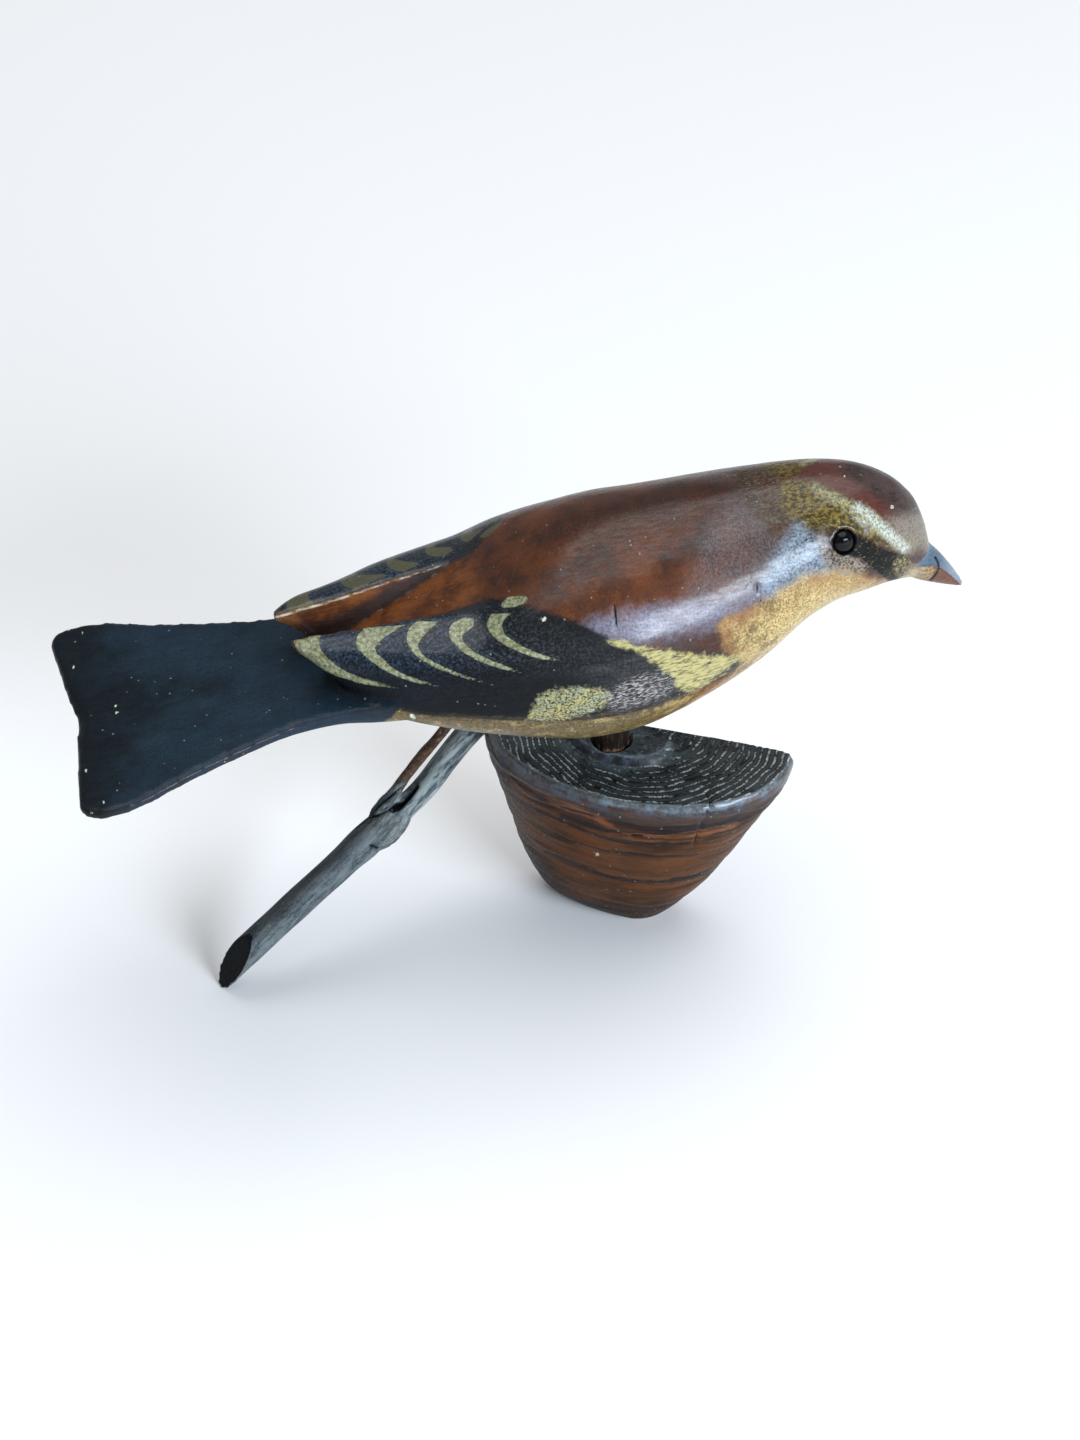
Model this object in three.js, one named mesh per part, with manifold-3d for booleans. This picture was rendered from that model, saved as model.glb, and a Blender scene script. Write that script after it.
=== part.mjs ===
// A carved and painted chaffinch on a short peg, over a half-round ringed perch with a forked twig.
// Millimetres, +Z up. The origin is on the perch's flat foot, under the bird's middle plane.
// +X is the way the bird faces, +Y is its left side.
import * as THREE from 'three';
import { mergeVertices } from 'three/addons/utils/BufferGeometryUtils.js';
import Module from 'manifold-3d';

const wasm = await Module();
wasm.setup();

// Driving dimensions
const fitGap = 0.3; // clearance between neighbouring pieces

// How finely the pieces are faceted
const birdRing = 40; // points round one body section
const wingSections = 12;
const backSections = 14;
const headSections = 7;
const hollowSections = 15;
const tailSections = 17;
const tailPoints = 7; // across one face of the tail
const tailCrowding = 1.25; // above 1, the sections stand closer towards the tail's end
const beakSections = 9;
const beakSides = 16;
const socketSides = 16;
const eyeSides = 14;
const pegSides = 24;
const perchSides = 40;
const stemSections = 26;
const notchSections = 24; // of the stem's seat in the perch
const stemSides = 12;
const branchSections = 10;
const branchSides = 8;
const knotSides = [12, 8];

// Body sections by their place along X: half width, back height, height of the widest line, belly height
const halfWidth = profile([
  [-56.4, 4.4], [-55.2, 5.6], [-52, 8.0], [-48, 10.0], [-44, 12.0], [-40, 13.8], [-34, 15.8], [-28, 17.5],
  [-20, 19.1], [-12, 20.0], [-6, 19.8], [0, 18.9], [8, 17.4], [16, 15.6], [22, 13.7], [28, 11.8],
  [34, 10.3], [40, 7.9], [44, 5.2], [46, 3.7], [47.2, 2.4], [47.9, 1.1],
]);
const backHeight = profile([
  [-56.4, 71.7], [-52, 72.2], [-48, 72.6], [-40, 73.8], [-28, 75.6], [-20, 79.6], [-12, 83.0], [-4, 84.9],
  [8, 86.2], [20, 87.4], [28, 88.0], [34, 87.3], [40, 84.9], [44, 81.2], [46, 77.4], [47.2, 73.6],
  [47.9, 70.8],
]);
const widestHeight = profile([
  [-56.4, 70.9], [-52, 69.6], [-48, 67.4], [-44, 66.2], [-38, 65.6], [-12, 65.5], [0, 66.5], [8, 68.5],
  [16, 71.0], [24, 74.6], [32, 76.2], [38, 75.6], [44, 72.4], [47.9, 69.0],
]);
const bellyHeight = profile([
  [-56.4, 70.1], [-54, 68.5], [-51, 65.9], [-48, 62.5], [-44, 58.8], [-40, 56.3], [-32, 52.8], [-20, 49.0],
  [-8, 47.0], [-2, 47.2], [4, 49.0], [12, 52.9], [20, 58.2], [26, 63.3], [32, 65.6], [40, 66.3],
  [45.2, 65.5], [47.9, 67.2],
]);
// How square a section is: 2 is an ellipse, more is a box with rounded corners
const backSquareness = profile([
  [-56.4, 3], [-52, 3.5], [-46, 3.8], [-36, 3.4], [-28, 3.0], [-20, 2.5], [-12, 2.1], [0, 2],
]);
const bellySquareness = profile([[-56.4, 3], [-48, 3.4], [-40, 2.4], [-30, 2.1], [-20, 2]]);
const wingTipSkew = 0.22; // the left wing reaches further back than the right one
const wingTipStart = -44;
const wingTipEnd = -56.4;

// Hollow between the wings: the wing edge, and the foot of each wing's inner face on the falling back
const hollowBack = -60;
const hollowFront = -24;
const wingEdgeDepth = 0.35; // how far the wing's edge lies below its highest line
const mantleCrown = 0.35; // the falling back is a little higher in its middle
const mantleQuarter = 0.75; // share of that crown halfway out to the foot
const sky = 95; // clear of the highest point of the back
const wingEdgeSide = profile([[-60, 2.6], [-57, 2.9], [-47.5, 3.9], [-38.5, 4.9], [-29, 5.9], [-24, 6.4]]);
const hollowFootSide = profile([
  [-60, 1.7], [-52, 1.8], [-46.7, 2.2], [-42, 2.9], [-38, 3.6], [-33, 4.7], [-29, 5.6], [-24, 6.3],
]);
const hollowFloor = profile([
  [-60, 60.4], [-50, 65.2], [-46.7, 66.9], [-38, 70.8], [-33, 73.0], [-28.5, 75.2], [-24, 77.7],
]);

// Tail: a flat fan with a slight fork, a little lower at its end than at its root
const tailEnd = -91.2;
const tailRootInside = -34;
const tailHalfWidth = profile([
  [-91.2, 19.6], [-90.2, 21.3], [-87, 22.4], [-83.5, 22.0], [-74, 18.4], [-64, 15.2], [-57, 13.4],
  [-50, 13.0], [-44, 13.9], [-40, 14.2], [-34, 12.5],
]);
const tailTop = (x) => 63.0 + 0.124 * (x + 55);
const tailDepth = profile([
  [-91.2, 1.9], [-75, 2.4], [-62, 3.1], [-55, 4.0], [-50, 5.2], [-44, 7.2], [-40, 8.4], [-34, 9],
]);
const tailEdgeDepth = 1.6;
const tailForkDepth = 3.6;
const tailForkLength = 12; // the fork fades out over this length of the tail
const tailEndSlant = 0.04; // the end's left corner is the longer one

// Beak: short cone that carries on the line of the forehead downwards
const beakRoot = new THREE.Vector3(44.6, 0, 70.3);
const beakTip = new THREE.Vector3(54.7, 0, 61.2);
const beakRise = profile([[0, 2.9], [0.35, 2.5], [0.7, 1.6], [0.9, 0.85], [1, 0.4]]);
const beakDrop = profile([[0, 4.3], [0.35, 3.4], [0.7, 1.85], [0.9, 0.9], [1, 0.4]]);
const beakHalfWidth = profile([[0, 3.6], [0.35, 2.9], [0.7, 1.7], [0.9, 0.8], [1, 0.3]]);

// Eyes: beads let into the sides of the head
const eyeRadius = 2.0;
const eyeCentre = new THREE.Vector3(29.8, 8.8, 81.0);

// Peg between belly and perch
const pegRadius = 3.2;
const pegPlace = [-3.6, 0];
const pegBottom = 28.5;
const pegTop = 53;

// Perch: half-round block. Its back is a flat upright face, turned from the bird's own line.
const perchHeight = 36.6;
const perchLevels = [ // heights of its outlines
  0, 0.8, 2, 4, 6.5, 9, 11.2, 13.5, 16, 18, 20, 22.5, 25, 27.5, 30, 32, 34, 35.4, 36.2, 36.6,
];
const perchCentre = [3.8, 3.5]; // middle of the rings, on the back face
const perchTurn = -27.4; // degrees from +X to the back face's long edge
const rightReach = profile([
  [0, 4.4], [2, 6.4], [6.5, 10.0], [11.2, 13.4], [16, 16.0], [19.5, 17.9], [24.9, 20.3], [29.7, 22.7],
  [33, 24.2], [35.4, 24.7], [36.6, 24.1],
]);
const leftReach = profile([
  [0, 14.0], [2, 16.3], [5, 18.5], [10, 21.0], [16, 22.9], [20, 24.0], [25, 25.5], [30, 26.9],
  [34.5, 27.6], [36.6, 26.9],
]);
const frontReach = profile([
  [0, 9.7], [2, 11.6], [5, 13.2], [10, 14.9], [16, 16.3], [22, 17.5], [28, 18.7], [34, 19.5], [35.6, 19.3],
  [36.6, 18.5],
]);
const widestShare = profile([[0, 0.5], [8, 0.3], [20, 0.16], [36.6, 0.1]]); // of the front reach
const backFlatness = profile([[0, 2], [8, 3.4], [20, 6], [36.6, 8]]);
const moundCentre = [-4.5, 6.2]; // along and in front of the back face
const moundHeight = 1.7;
const moundSteps = [[0.42, 0], [0.36, 0.5], [0.29, 1]]; // share of the rim's size, share of the height

// Twig: a forked stick from the left end of the perch down to the ground
const stemRoute = [
  [-76.2, -8.1, 0.5], [-69.2, -5.4, 5.0], [-64.7, -3.8, 7.8], [-56.3, -0.7, 12.9], [-47.8, 2.5, 17.9],
  [-41.3, 5.2, 21.5], [-37.5, 6.8, 23.2], [-33.5, 8.6, 25.6], [-29.8, 10.7, 28.7], [-25.8, 12.7, 31.9],
  [-22.8, 13.9, 33.2], [-19.4, 12.2, 33.3], [-15, 9.2, 32.6],
];
const stemRadius = profile([
  [0, 2.7], [0.12, 2.55], [0.44, 2.6], [0.5, 2.9], [0.57, 2.5], [0.64, 2.1], [0.86, 2.1], [1, 1.7],
]);
const knotCentre = [-41.2, 4.7, 20.8];
const knotRadii = [5.4, 2.7, 2.7]; // the first along the stem
const stemHeading = [0.8, 0.31, 0.51];
const branchRoute = [
  [-42.5, 5.3, 22.4], [-38.0, 6.4, 29.2], [-34.7, 7.2, 33.3], [-30.4, 8.0, 38.0], [-27.9, 8.6, 41.2],
];
const branchRadius = profile([[0, 2.0], [0.14, 1.7], [0.3, 1.0], [1, 0.85]]);
const cutCentre = [-69.5, -5.5, 5.8]; // the stem's lower end is cut across at a slant
const cutFacing = [-0.532, -0.777, 0.336];

// A smooth function through a few named sizes
function profile(points) {
  const count = points.length;
  const slopes = points.map((point, i) => {
    if (i === 0 || i === count - 1) return 0;
    const before = (point[1] - points[i - 1][1]) / (point[0] - points[i - 1][0]);
    const after = (points[i + 1][1] - point[1]) / (points[i + 1][0] - point[0]);
    return before * after <= 0 ? 0 : (2 * before * after) / (before + after);
  });
  const ends = [[0, 1], [count - 1, count - 2]];
  for (const [end, next] of ends) {
    slopes[end] = (points[next][1] - points[end][1]) / (points[next][0] - points[end][0]);
  }
  return (x) => {
    if (x <= points[0][0]) return points[0][1];
    if (x >= points[count - 1][0]) return points[count - 1][1];
    let i = 0;
    while (x > points[i + 1][0]) i += 1;
    const span = points[i + 1][0] - points[i][0];
    const t = (x - points[i][0]) / span;
    const rise = t * t * (3 - 2 * t);
    const bend = t * (1 - t);
    return points[i][1] * (1 - rise) + points[i + 1][1] * rise
      + span * bend * ((1 - t) * slopes[i] - t * slopes[i + 1]);
  };
}

// Closed skin over rings that all have the same number of points, with a fan over each end
function loft(rings) {
  const count = rings[0].length;
  const positions = [];
  const indices = [];
  for (const ring of rings) {
    for (const point of ring) positions.push(point.x, point.y, point.z);
  }
  for (let r = 0; r < rings.length - 1; r += 1) {
    for (let i = 0; i < count; i += 1) {
      const a = r * count + i;
      const b = r * count + ((i + 1) % count);
      indices.push(a, b, b + count, a, b + count, a + count);
    }
  }
  for (const end of [0, rings.length - 1]) {
    const middle = new THREE.Vector3();
    for (const point of rings[end]) middle.addScaledVector(point, 1 / count);
    const centre = positions.length / 3;
    positions.push(middle.x, middle.y, middle.z);
    for (let i = 0; i < count; i += 1) {
      const a = end * count + i;
      const b = end * count + ((i + 1) % count);
      if (end === 0) indices.push(centre, b, a);
      else indices.push(centre, a, b);
    }
  }
  const geometry = new THREE.BufferGeometry();
  geometry.setAttribute('position', new THREE.Float32BufferAttribute(positions, 3));
  geometry.setIndex(enclosedVolume(positions, indices) < 0 ? indices.reverse() : indices);
  return geometry;
}

function enclosedVolume(positions, indices) {
  const corner = (i) => new THREE.Vector3().fromArray(positions, 3 * indices[i]);
  let volume = 0;
  for (let i = 0; i < indices.length; i += 3) {
    volume += corner(i).dot(corner(i + 1).cross(corner(i + 2))) / 6;
  }
  return volume;
}

function solid(geometry) {
  const bare = geometry.clone();
  bare.deleteAttribute('normal');
  bare.deleteAttribute('uv');
  const merged = mergeVertices(bare, 1e-4);
  return new wasm.Manifold(new wasm.Mesh({
    numProp: 3,
    vertProperties: new Float32Array(merged.attributes.position.array),
    triVerts: new Uint32Array(merged.index.array),
  }));
}

function geometryOf(body) {
  const mesh = body.getMesh();
  const geometry = new THREE.BufferGeometry();
  geometry.setAttribute('position', new THREE.Float32BufferAttribute(mesh.vertProperties, 3));
  geometry.setIndex(Array.from(mesh.triVerts));
  geometry.computeVertexNormals();
  return geometry;
}

function piece(name, body, look) {
  const mesh = new THREE.Mesh(geometryOf(body), new THREE.MeshStandardMaterial(look));
  mesh.name = name;
  return mesh;
}

const signedPower = (value, power) => Math.sign(value) * Math.abs(value) ** power;
const steps = (from, to, count) => Array.from(
  { length: count + 1 },
  (_, i) => from + ((to - from) * i) / count,
);

// One body section, square to X but for the slanting wing tips
function bodySection(x) {
  const ring = [];
  const slant = wingTipSkew * Math.max(0, (wingTipStart - x) / (wingTipStart - wingTipEnd));
  const wide = widestHeight(x);
  for (let i = 0; i < birdRing; i += 1) {
    const angle = (2 * Math.PI * (i + 0.5)) / birdRing;
    const upper = Math.cos(angle) > 0;
    const power = 2 / (upper ? backSquareness(x) : bellySquareness(x));
    const reach = upper ? backHeight(x) - wide : wide - bellyHeight(x);
    const y = halfWidth(x) * signedPower(Math.sin(angle), power);
    ring.push(new THREE.Vector3(x - slant * y, y, wide + reach * signedPower(Math.cos(angle), power)));
  }
  return ring;
}

function body() {
  const places = [
    wingTipEnd, -56, ...steps(-55, -28, wingSections),
    ...steps(-25, 26, backSections),
    ...steps(28.5, 45.6, headSections), 46.6, 47.4, 47.9,
  ];
  return solid(loft(places.map(bodySection)));
}

// What is cut away between the wings
function wingHollow() {
  const rings = steps(hollowBack, hollowFront, hollowSections).map((x) => {
    const edge = wingEdgeSide(x);
    const foot = hollowFootSide(x);
    const floor = hollowFloor(x);
    const rim = Math.max(floor + 0.01, backHeight(x) - wingEdgeDepth);
    const quarter = floor + mantleQuarter * mantleCrown;
    const outline = [
      [-edge, sky], [-edge, rim],
      [-foot, floor], [-foot / 2, quarter], [0, floor + mantleCrown], [foot / 2, quarter], [foot, floor],
      [edge, rim], [edge, sky],
    ];
    return outline.map(([y, z]) => new THREE.Vector3(x, y, z));
  });
  return solid(loft(rings));
}

function tail() {
  const rings = steps(0, 1, tailSections).map((share) => {
    const along = tailEnd + (tailRootInside - tailEnd) * share ** tailCrowding;
    const fork = tailForkDepth * Math.max(0, 1 - (along - tailEnd) / tailForkLength);
    const ring = [];
    const width = tailHalfWidth(along);
    for (const side of [1, -1]) {
      for (let i = 0; i < tailPoints; i += 1) {
        const across = side * (1 - (2 * i) / (tailPoints - 1));
        const y = width * across;
        const x = along + fork * (1 - Math.abs(across)) - tailEndSlant * y;
        const swell = Math.max(0, 1 - across * across);
        const under = tailEdgeDepth + (tailDepth(along) - tailEdgeDepth) * Math.sqrt(swell);
        const z = side > 0 ? tailTop(x) : tailTop(x) - under;
        ring.push(new THREE.Vector3(x, y, z));
      }
    }
    return ring;
  });
  return solid(loft(rings));
}

function beak() {
  const axis = beakTip.clone().sub(beakRoot).normalize();
  const upward = new THREE.Vector3(-axis.z, 0, axis.x);
  const across = new THREE.Vector3(0, 1, 0);
  const rings = steps(0, 1, beakSections).map((share) => {
    const centre = beakRoot.clone().lerp(beakTip, share);
    return steps(0, 2 * Math.PI, beakSides).slice(0, -1).map((angle) => {
      const height = Math.cos(angle) > 0 ? beakRise(share) : beakDrop(share);
      return centre.clone()
        .addScaledVector(across, beakHalfWidth(share) * Math.sin(angle))
        .addScaledVector(upward, height * Math.cos(angle));
    });
  });
  return solid(loft(rings));
}

function ball(radius, centre, segments) {
  const sphere = new THREE.SphereGeometry(radius, segments, Math.round(segments / 1.5));
  return solid(sphere.translate(centre.x, centre.y, centre.z));
}

function rod(radius, bottom, top, segments) {
  const cylinder = new THREE.CylinderGeometry(radius, radius, top - bottom, segments);
  cylinder.rotateX(Math.PI / 2).translate(pegPlace[0], pegPlace[1], (top + bottom) / 2);
  return solid(cylinder);
}

function eyePlace(side) {
  return new THREE.Vector3(eyeCentre.x, side * eyeCentre.y, eyeCentre.z);
}

function bird() {
  return body()
    .subtract(wingHollow())
    .add(tail())
    .add(beak())
    .subtract(ball(eyeRadius + fitGap, eyePlace(1), socketSides))
    .subtract(ball(eyeRadius + fitGap, eyePlace(-1), socketSides))
    .subtract(rod(pegRadius + fitGap, pegBottom, pegTop + fitGap, pegSides));
}

// Place on the perch: along the back face, out in front of it, and height
function perchPoint(along, front, z) {
  const turn = THREE.MathUtils.degToRad(perchTurn);
  return new THREE.Vector3(
    perchCentre[0] + along * Math.cos(turn) + front * Math.sin(turn),
    perchCentre[1] + along * Math.sin(turn) - front * Math.cos(turn),
    z,
  );
}

function perchOutline(z, points) {
  const front = frontReach(z);
  const widest = front * widestShare(z);
  const power = 2 / backFlatness(z);
  return steps(0, 2 * Math.PI, points).slice(0, -1).map((angle) => {
    const reach = Math.cos(angle) > 0 ? rightReach(z) : leftReach(z);
    if (angle <= Math.PI) return [reach * Math.cos(angle), widest + (front - widest) * Math.sin(angle)];
    return [
      reach * signedPower(Math.cos(angle), power),
      widest * (1 - Math.abs(Math.sin(angle)) ** power),
    ];
  });
}

function perch() {
  const rings = [];
  for (const z of perchLevels) {
    rings.push(perchOutline(z, perchSides).map(([along, front]) => perchPoint(along, front, z)));
  }
  const rim = perchOutline(perchHeight, perchSides);
  for (const [share, lift] of moundSteps) {
    rings.push(rim.map(([along, front]) => perchPoint(
      moundCentre[0] + (along - moundCentre[0]) * share,
      moundCentre[1] + (front - moundCentre[1]) * share,
      perchHeight + moundHeight * lift,
    )));
  }
  return solid(loft(rings))
    .subtract(rod(pegRadius + fitGap, pegBottom - fitGap, pegTop, pegSides))
    .subtract(stick(stemRoute, stemRadius, notchSections, stemSides, fitGap));
}

// A round stick of changing thickness along a smooth route
function stick(route, radius, lengths, sides, extra = 0) {
  const curve = new THREE.CatmullRomCurve3(route.map((point) => new THREE.Vector3(...point)));
  const frames = curve.computeFrenetFrames(lengths, false);
  const rings = steps(0, 1, lengths).map((share, i) => {
    const centre = curve.getPointAt(share);
    if (i === lengths) centre.addScaledVector(frames.tangents[i], extra);
    return steps(0, 2 * Math.PI, sides).slice(0, -1).map((angle) => centre.clone()
      .addScaledVector(frames.normals[i], (radius(share) + extra) * Math.cos(angle))
      .addScaledVector(frames.binormals[i], (radius(share) + extra) * Math.sin(angle)));
  });
  return solid(loft(rings));
}

// A big block whose one face passes through a point and looks along a direction, to cut a piece off flat
function cuttingBlock(point, facing) {
  const size = 60;
  const block = new THREE.BoxGeometry(size, size, size).translate(0, 0, size / 2);
  const turn = new THREE.Quaternion().setFromUnitVectors(
    new THREE.Vector3(0, 0, 1),
    new THREE.Vector3(...facing).normalize(),
  );
  return solid(block.applyQuaternion(turn).translate(...point));
}

function twig() {
  const turn = new THREE.Quaternion().setFromUnitVectors(
    new THREE.Vector3(1, 0, 0),
    new THREE.Vector3(...stemHeading).normalize(),
  );
  const knot = new THREE.SphereGeometry(1, ...knotSides);
  knot.scale(...knotRadii).applyQuaternion(turn).translate(...knotCentre);
  return stick(stemRoute, stemRadius, stemSections, stemSides)
    .add(solid(knot))
    .add(stick(branchRoute, branchRadius, branchSections, branchSides))
    .subtract(cuttingBlock(cutCentre, cutFacing))
    .subtract(cuttingBlock([cutCentre[0], cutCentre[1], 0], [0, 0, -1]));
}

const painted = { color: 0x5a3322, roughness: 0.4, metalness: 0 };
const glass = { color: 0x0b0c10, roughness: 0.08, metalness: 0 };
const darkWood = { color: 0x2a1c16, roughness: 0.7, metalness: 0 };
const bandedWood = { color: 0x5c3a26, roughness: 0.6, metalness: 0 };
const bark = { color: 0x565a60, roughness: 0.8, metalness: 0 };

const chaffinch = new THREE.Group();
chaffinch.add(
  piece('bird', bird(), painted),
  piece('eye_right', ball(eyeRadius, eyePlace(-1), eyeSides), glass),
  piece('eye_left', ball(eyeRadius, eyePlace(1), eyeSides), glass),
  piece('peg', rod(pegRadius, pegBottom, pegTop, pegSides), darkWood),
  piece('perch', perch(), bandedWood),
  piece('twig', twig(), bark),
);

export default chaffinch;
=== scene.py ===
import math

import bmesh
import bpy
import numpy as np
from mathutils import Matrix, Vector, noise


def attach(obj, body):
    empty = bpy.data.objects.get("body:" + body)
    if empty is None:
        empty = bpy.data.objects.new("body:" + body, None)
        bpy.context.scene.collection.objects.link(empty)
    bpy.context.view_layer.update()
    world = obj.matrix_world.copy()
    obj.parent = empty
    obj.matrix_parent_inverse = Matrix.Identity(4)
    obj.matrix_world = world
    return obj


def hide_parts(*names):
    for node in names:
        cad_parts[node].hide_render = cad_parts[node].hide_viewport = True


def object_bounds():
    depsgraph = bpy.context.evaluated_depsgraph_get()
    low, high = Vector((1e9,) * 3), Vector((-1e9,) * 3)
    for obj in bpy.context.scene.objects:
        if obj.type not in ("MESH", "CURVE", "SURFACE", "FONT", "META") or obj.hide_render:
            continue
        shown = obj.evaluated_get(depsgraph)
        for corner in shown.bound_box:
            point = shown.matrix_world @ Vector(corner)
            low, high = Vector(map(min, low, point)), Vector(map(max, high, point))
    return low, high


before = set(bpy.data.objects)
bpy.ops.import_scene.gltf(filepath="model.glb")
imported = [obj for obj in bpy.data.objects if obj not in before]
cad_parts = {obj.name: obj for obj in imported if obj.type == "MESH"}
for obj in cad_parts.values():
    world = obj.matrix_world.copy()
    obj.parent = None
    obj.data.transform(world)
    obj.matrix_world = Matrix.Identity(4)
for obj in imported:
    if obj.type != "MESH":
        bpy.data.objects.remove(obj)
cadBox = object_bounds()
mm = 0.001


# Camera, at the photograph's own place
photoCamera = {
    "azimuth": -12,  # degrees, 0 looks along +Y
    "elevation": 42,
    "place": (-81.25, -308.36, 328.51),
    "lens": 65,
    "sensor": 36,
    "picture": (1080, 1440),  # pixels of the photograph
}


def makeCamera(s):
    camera = bpy.data.objects.new("camera", bpy.data.cameras.new("camera"))
    bpy.context.scene.collection.objects.link(camera)
    camera.data.lens = s["lens"]
    camera.data.sensor_width = s["sensor"]
    camera.data.clip_start = 0.01
    camera.data.clip_end = 20
    camera.location = Vector(s["place"]) * mm
    camera.rotation_euler = (math.radians(90 - s["elevation"]), 0, math.radians(s["azimuth"]))
    bpy.context.scene.camera = camera


def cameraAxes(s):
    az, el = math.radians(s["azimuth"]), math.radians(s["elevation"])
    back = np.array([math.sin(az) * math.cos(el), -math.cos(az) * math.cos(el), math.sin(el)])
    right = np.array([math.cos(az), math.sin(az), 0])
    return right, np.cross(back, right), back


# Where points of the part lie in the photograph, in its pixels
def toPicture(points, s=photoCamera):
    right, up, back = cameraAxes(s)
    width, height = s["picture"]
    focal = s["lens"] / s["sensor"] * height
    away = points - np.array(s["place"])
    depth = -(away @ back)
    across, down = focal * (away @ right) / depth, -focal * (away @ up) / depth
    return np.stack([width / 2 + across, height / 2 + down], 1)


makeCamera(photoCamera)
print("camera placed")


# Mesh helpers

# A smooth function through a few named sizes
def profile(points):
    x, y = np.array(points, float).T
    step = np.diff(y) / np.diff(x)
    slope = np.zeros(len(x))
    slope[0], slope[-1] = step[0], step[-1]
    same = step[:-1] * step[1:] > 0
    slope[1:-1][same] = 2 * step[:-1][same] * step[1:][same] / (step[:-1][same] + step[1:][same])

    def value(at):
        at = np.clip(at, x[0], x[-1])
        i = np.clip(np.searchsorted(x, at, side="right") - 1, 0, len(x) - 2)
        span = x[i + 1] - x[i]
        t = (at - x[i]) / span
        rise = t * t * (3 - 2 * t)
        bend = t * (1 - t)
        return y[i] * (1 - rise) + y[i + 1] * rise + span * bend * ((1 - t) * slope[i] - t * slope[i + 1])

    return value


def signedPower(value, power):
    return np.sign(value) * np.abs(value) ** power


def newObject(name, mesh):
    thing = bpy.data.objects.new(name, mesh)
    bpy.context.scene.collection.objects.link(thing)
    return thing


def outwardFaces(mesh):
    bm = bmesh.new()
    bm.from_mesh(mesh)
    bmesh.ops.remove_doubles(bm, verts=bm.verts, dist=1e-7)
    bmesh.ops.recalc_face_normals(bm, faces=bm.faces)
    bm.to_mesh(mesh)
    bm.free()


# Closed skin over rings (rings x points x 3, in millimetres), with a fan over each end
def loft(name, rings):
    rings = np.asarray(rings, float)
    lengths, count = rings.shape[:2]
    points = np.concatenate([rings.reshape(-1, 3), rings[0].mean(0)[None], rings[-1].mean(0)[None]])
    here = np.arange(count)
    after = (here + 1) % count
    faces = []
    for r in range(lengths - 1):
        a, b = r * count + here, r * count + after
        faces += np.stack([a, b, b + count, a + count], 1).tolist()
    first, last = lengths * count, lengths * count + 1
    faces += np.stack([np.full(count, first), after, here], 1).tolist()
    end = (lengths - 1) * count
    faces += np.stack([np.full(count, last), end + here, end + after], 1).tolist()
    mesh = bpy.data.meshes.new(name)
    mesh.from_pydata((points * mm).tolist(), [], faces)
    outwardFaces(mesh)
    return newObject(name, mesh)


# The object's mesh with all its modifiers in it
def bakeModifiers(thing):
    bpy.context.view_layer.update()
    done = thing.evaluated_get(bpy.context.evaluated_depsgraph_get())
    mesh = bpy.data.meshes.new_from_object(done)
    old = thing.data
    thing.modifiers.clear()
    if thing.type == "MESH":
        thing.data = mesh
        bpy.data.meshes.remove(old)
        return thing
    name = thing.name
    bpy.data.objects.remove(thing)
    return newObject(name, mesh)


def combine(thing, tool, operation):
    change = thing.modifiers.new("combine", "BOOLEAN")
    change.operation = operation
    change.solver = "MANIFOLD"
    change.object = tool
    bakeModifiers(thing)
    bpy.data.objects.remove(tool)
    return thing


# One even skin over everything, with its sharp corners eased as by sanding
def evenSkin(thing, size, passes):
    skin = thing.modifiers.new("skin", "REMESH")
    skin.mode = "VOXEL"
    skin.voxel_size = size * mm
    skin.use_smooth_shade = True
    ease = thing.modifiers.new("ease", "SMOOTH")
    ease.factor = 0.5
    ease.iterations = passes
    return bakeModifiers(thing)


def readPoints(mesh):
    points = np.empty(len(mesh.vertices) * 3, np.float32)
    mesh.vertices.foreach_get("co", points)
    return points.reshape(-1, 3).astype(float) / mm


def writePoints(mesh, points):
    low, high = np.array(cadBox) / mm
    points = np.clip(points, low, high)
    mesh.vertices.foreach_set("co", (points * mm).astype(np.float32).ravel())
    mesh.update()


def readNormals(mesh):
    normals = np.empty(len(mesh.vertices) * 3, np.float32)
    mesh.vertex_normals.foreach_get("vector", normals)
    return normals.reshape(-1, 3).astype(float)


def writeLayer(mesh, name, values):
    layer = mesh.attributes.new(name, "FLOAT", "POINT")
    layer.data.foreach_set("value", np.asarray(values, np.float32))


def writePlaces(mesh, name, places):
    layer = mesh.attributes.new(name, "FLOAT_VECTOR", "POINT")
    layer.data.foreach_set("vector", np.asarray(places, np.float32).ravel())


def smoothShade(mesh):
    mesh.polygons.foreach_set("use_smooth", np.ones(len(mesh.polygons), bool))


def ball(name, radius, centre, segments=48):
    bm = bmesh.new()
    bmesh.ops.create_uvsphere(bm, u_segments=segments, v_segments=segments // 2, radius=radius * mm)
    bmesh.ops.translate(bm, verts=bm.verts, vec=Vector(centre) * mm)
    mesh = bpy.data.meshes.new(name)
    bm.to_mesh(mesh)
    bm.free()
    return newObject(name, mesh)


def rod(name, radius, bottom, top, place, segments=64):
    bm = bmesh.new()
    width, length = radius * mm, (top - bottom) * mm
    bmesh.ops.create_cone(bm, cap_ends=True, segments=segments, radius1=width, radius2=width, depth=length)
    bmesh.ops.translate(bm, verts=bm.verts, vec=Vector((place[0], place[1], (top + bottom) / 2)) * mm)
    mesh = bpy.data.meshes.new(name)
    bm.to_mesh(mesh)
    bm.free()
    return newObject(name, mesh)


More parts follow.
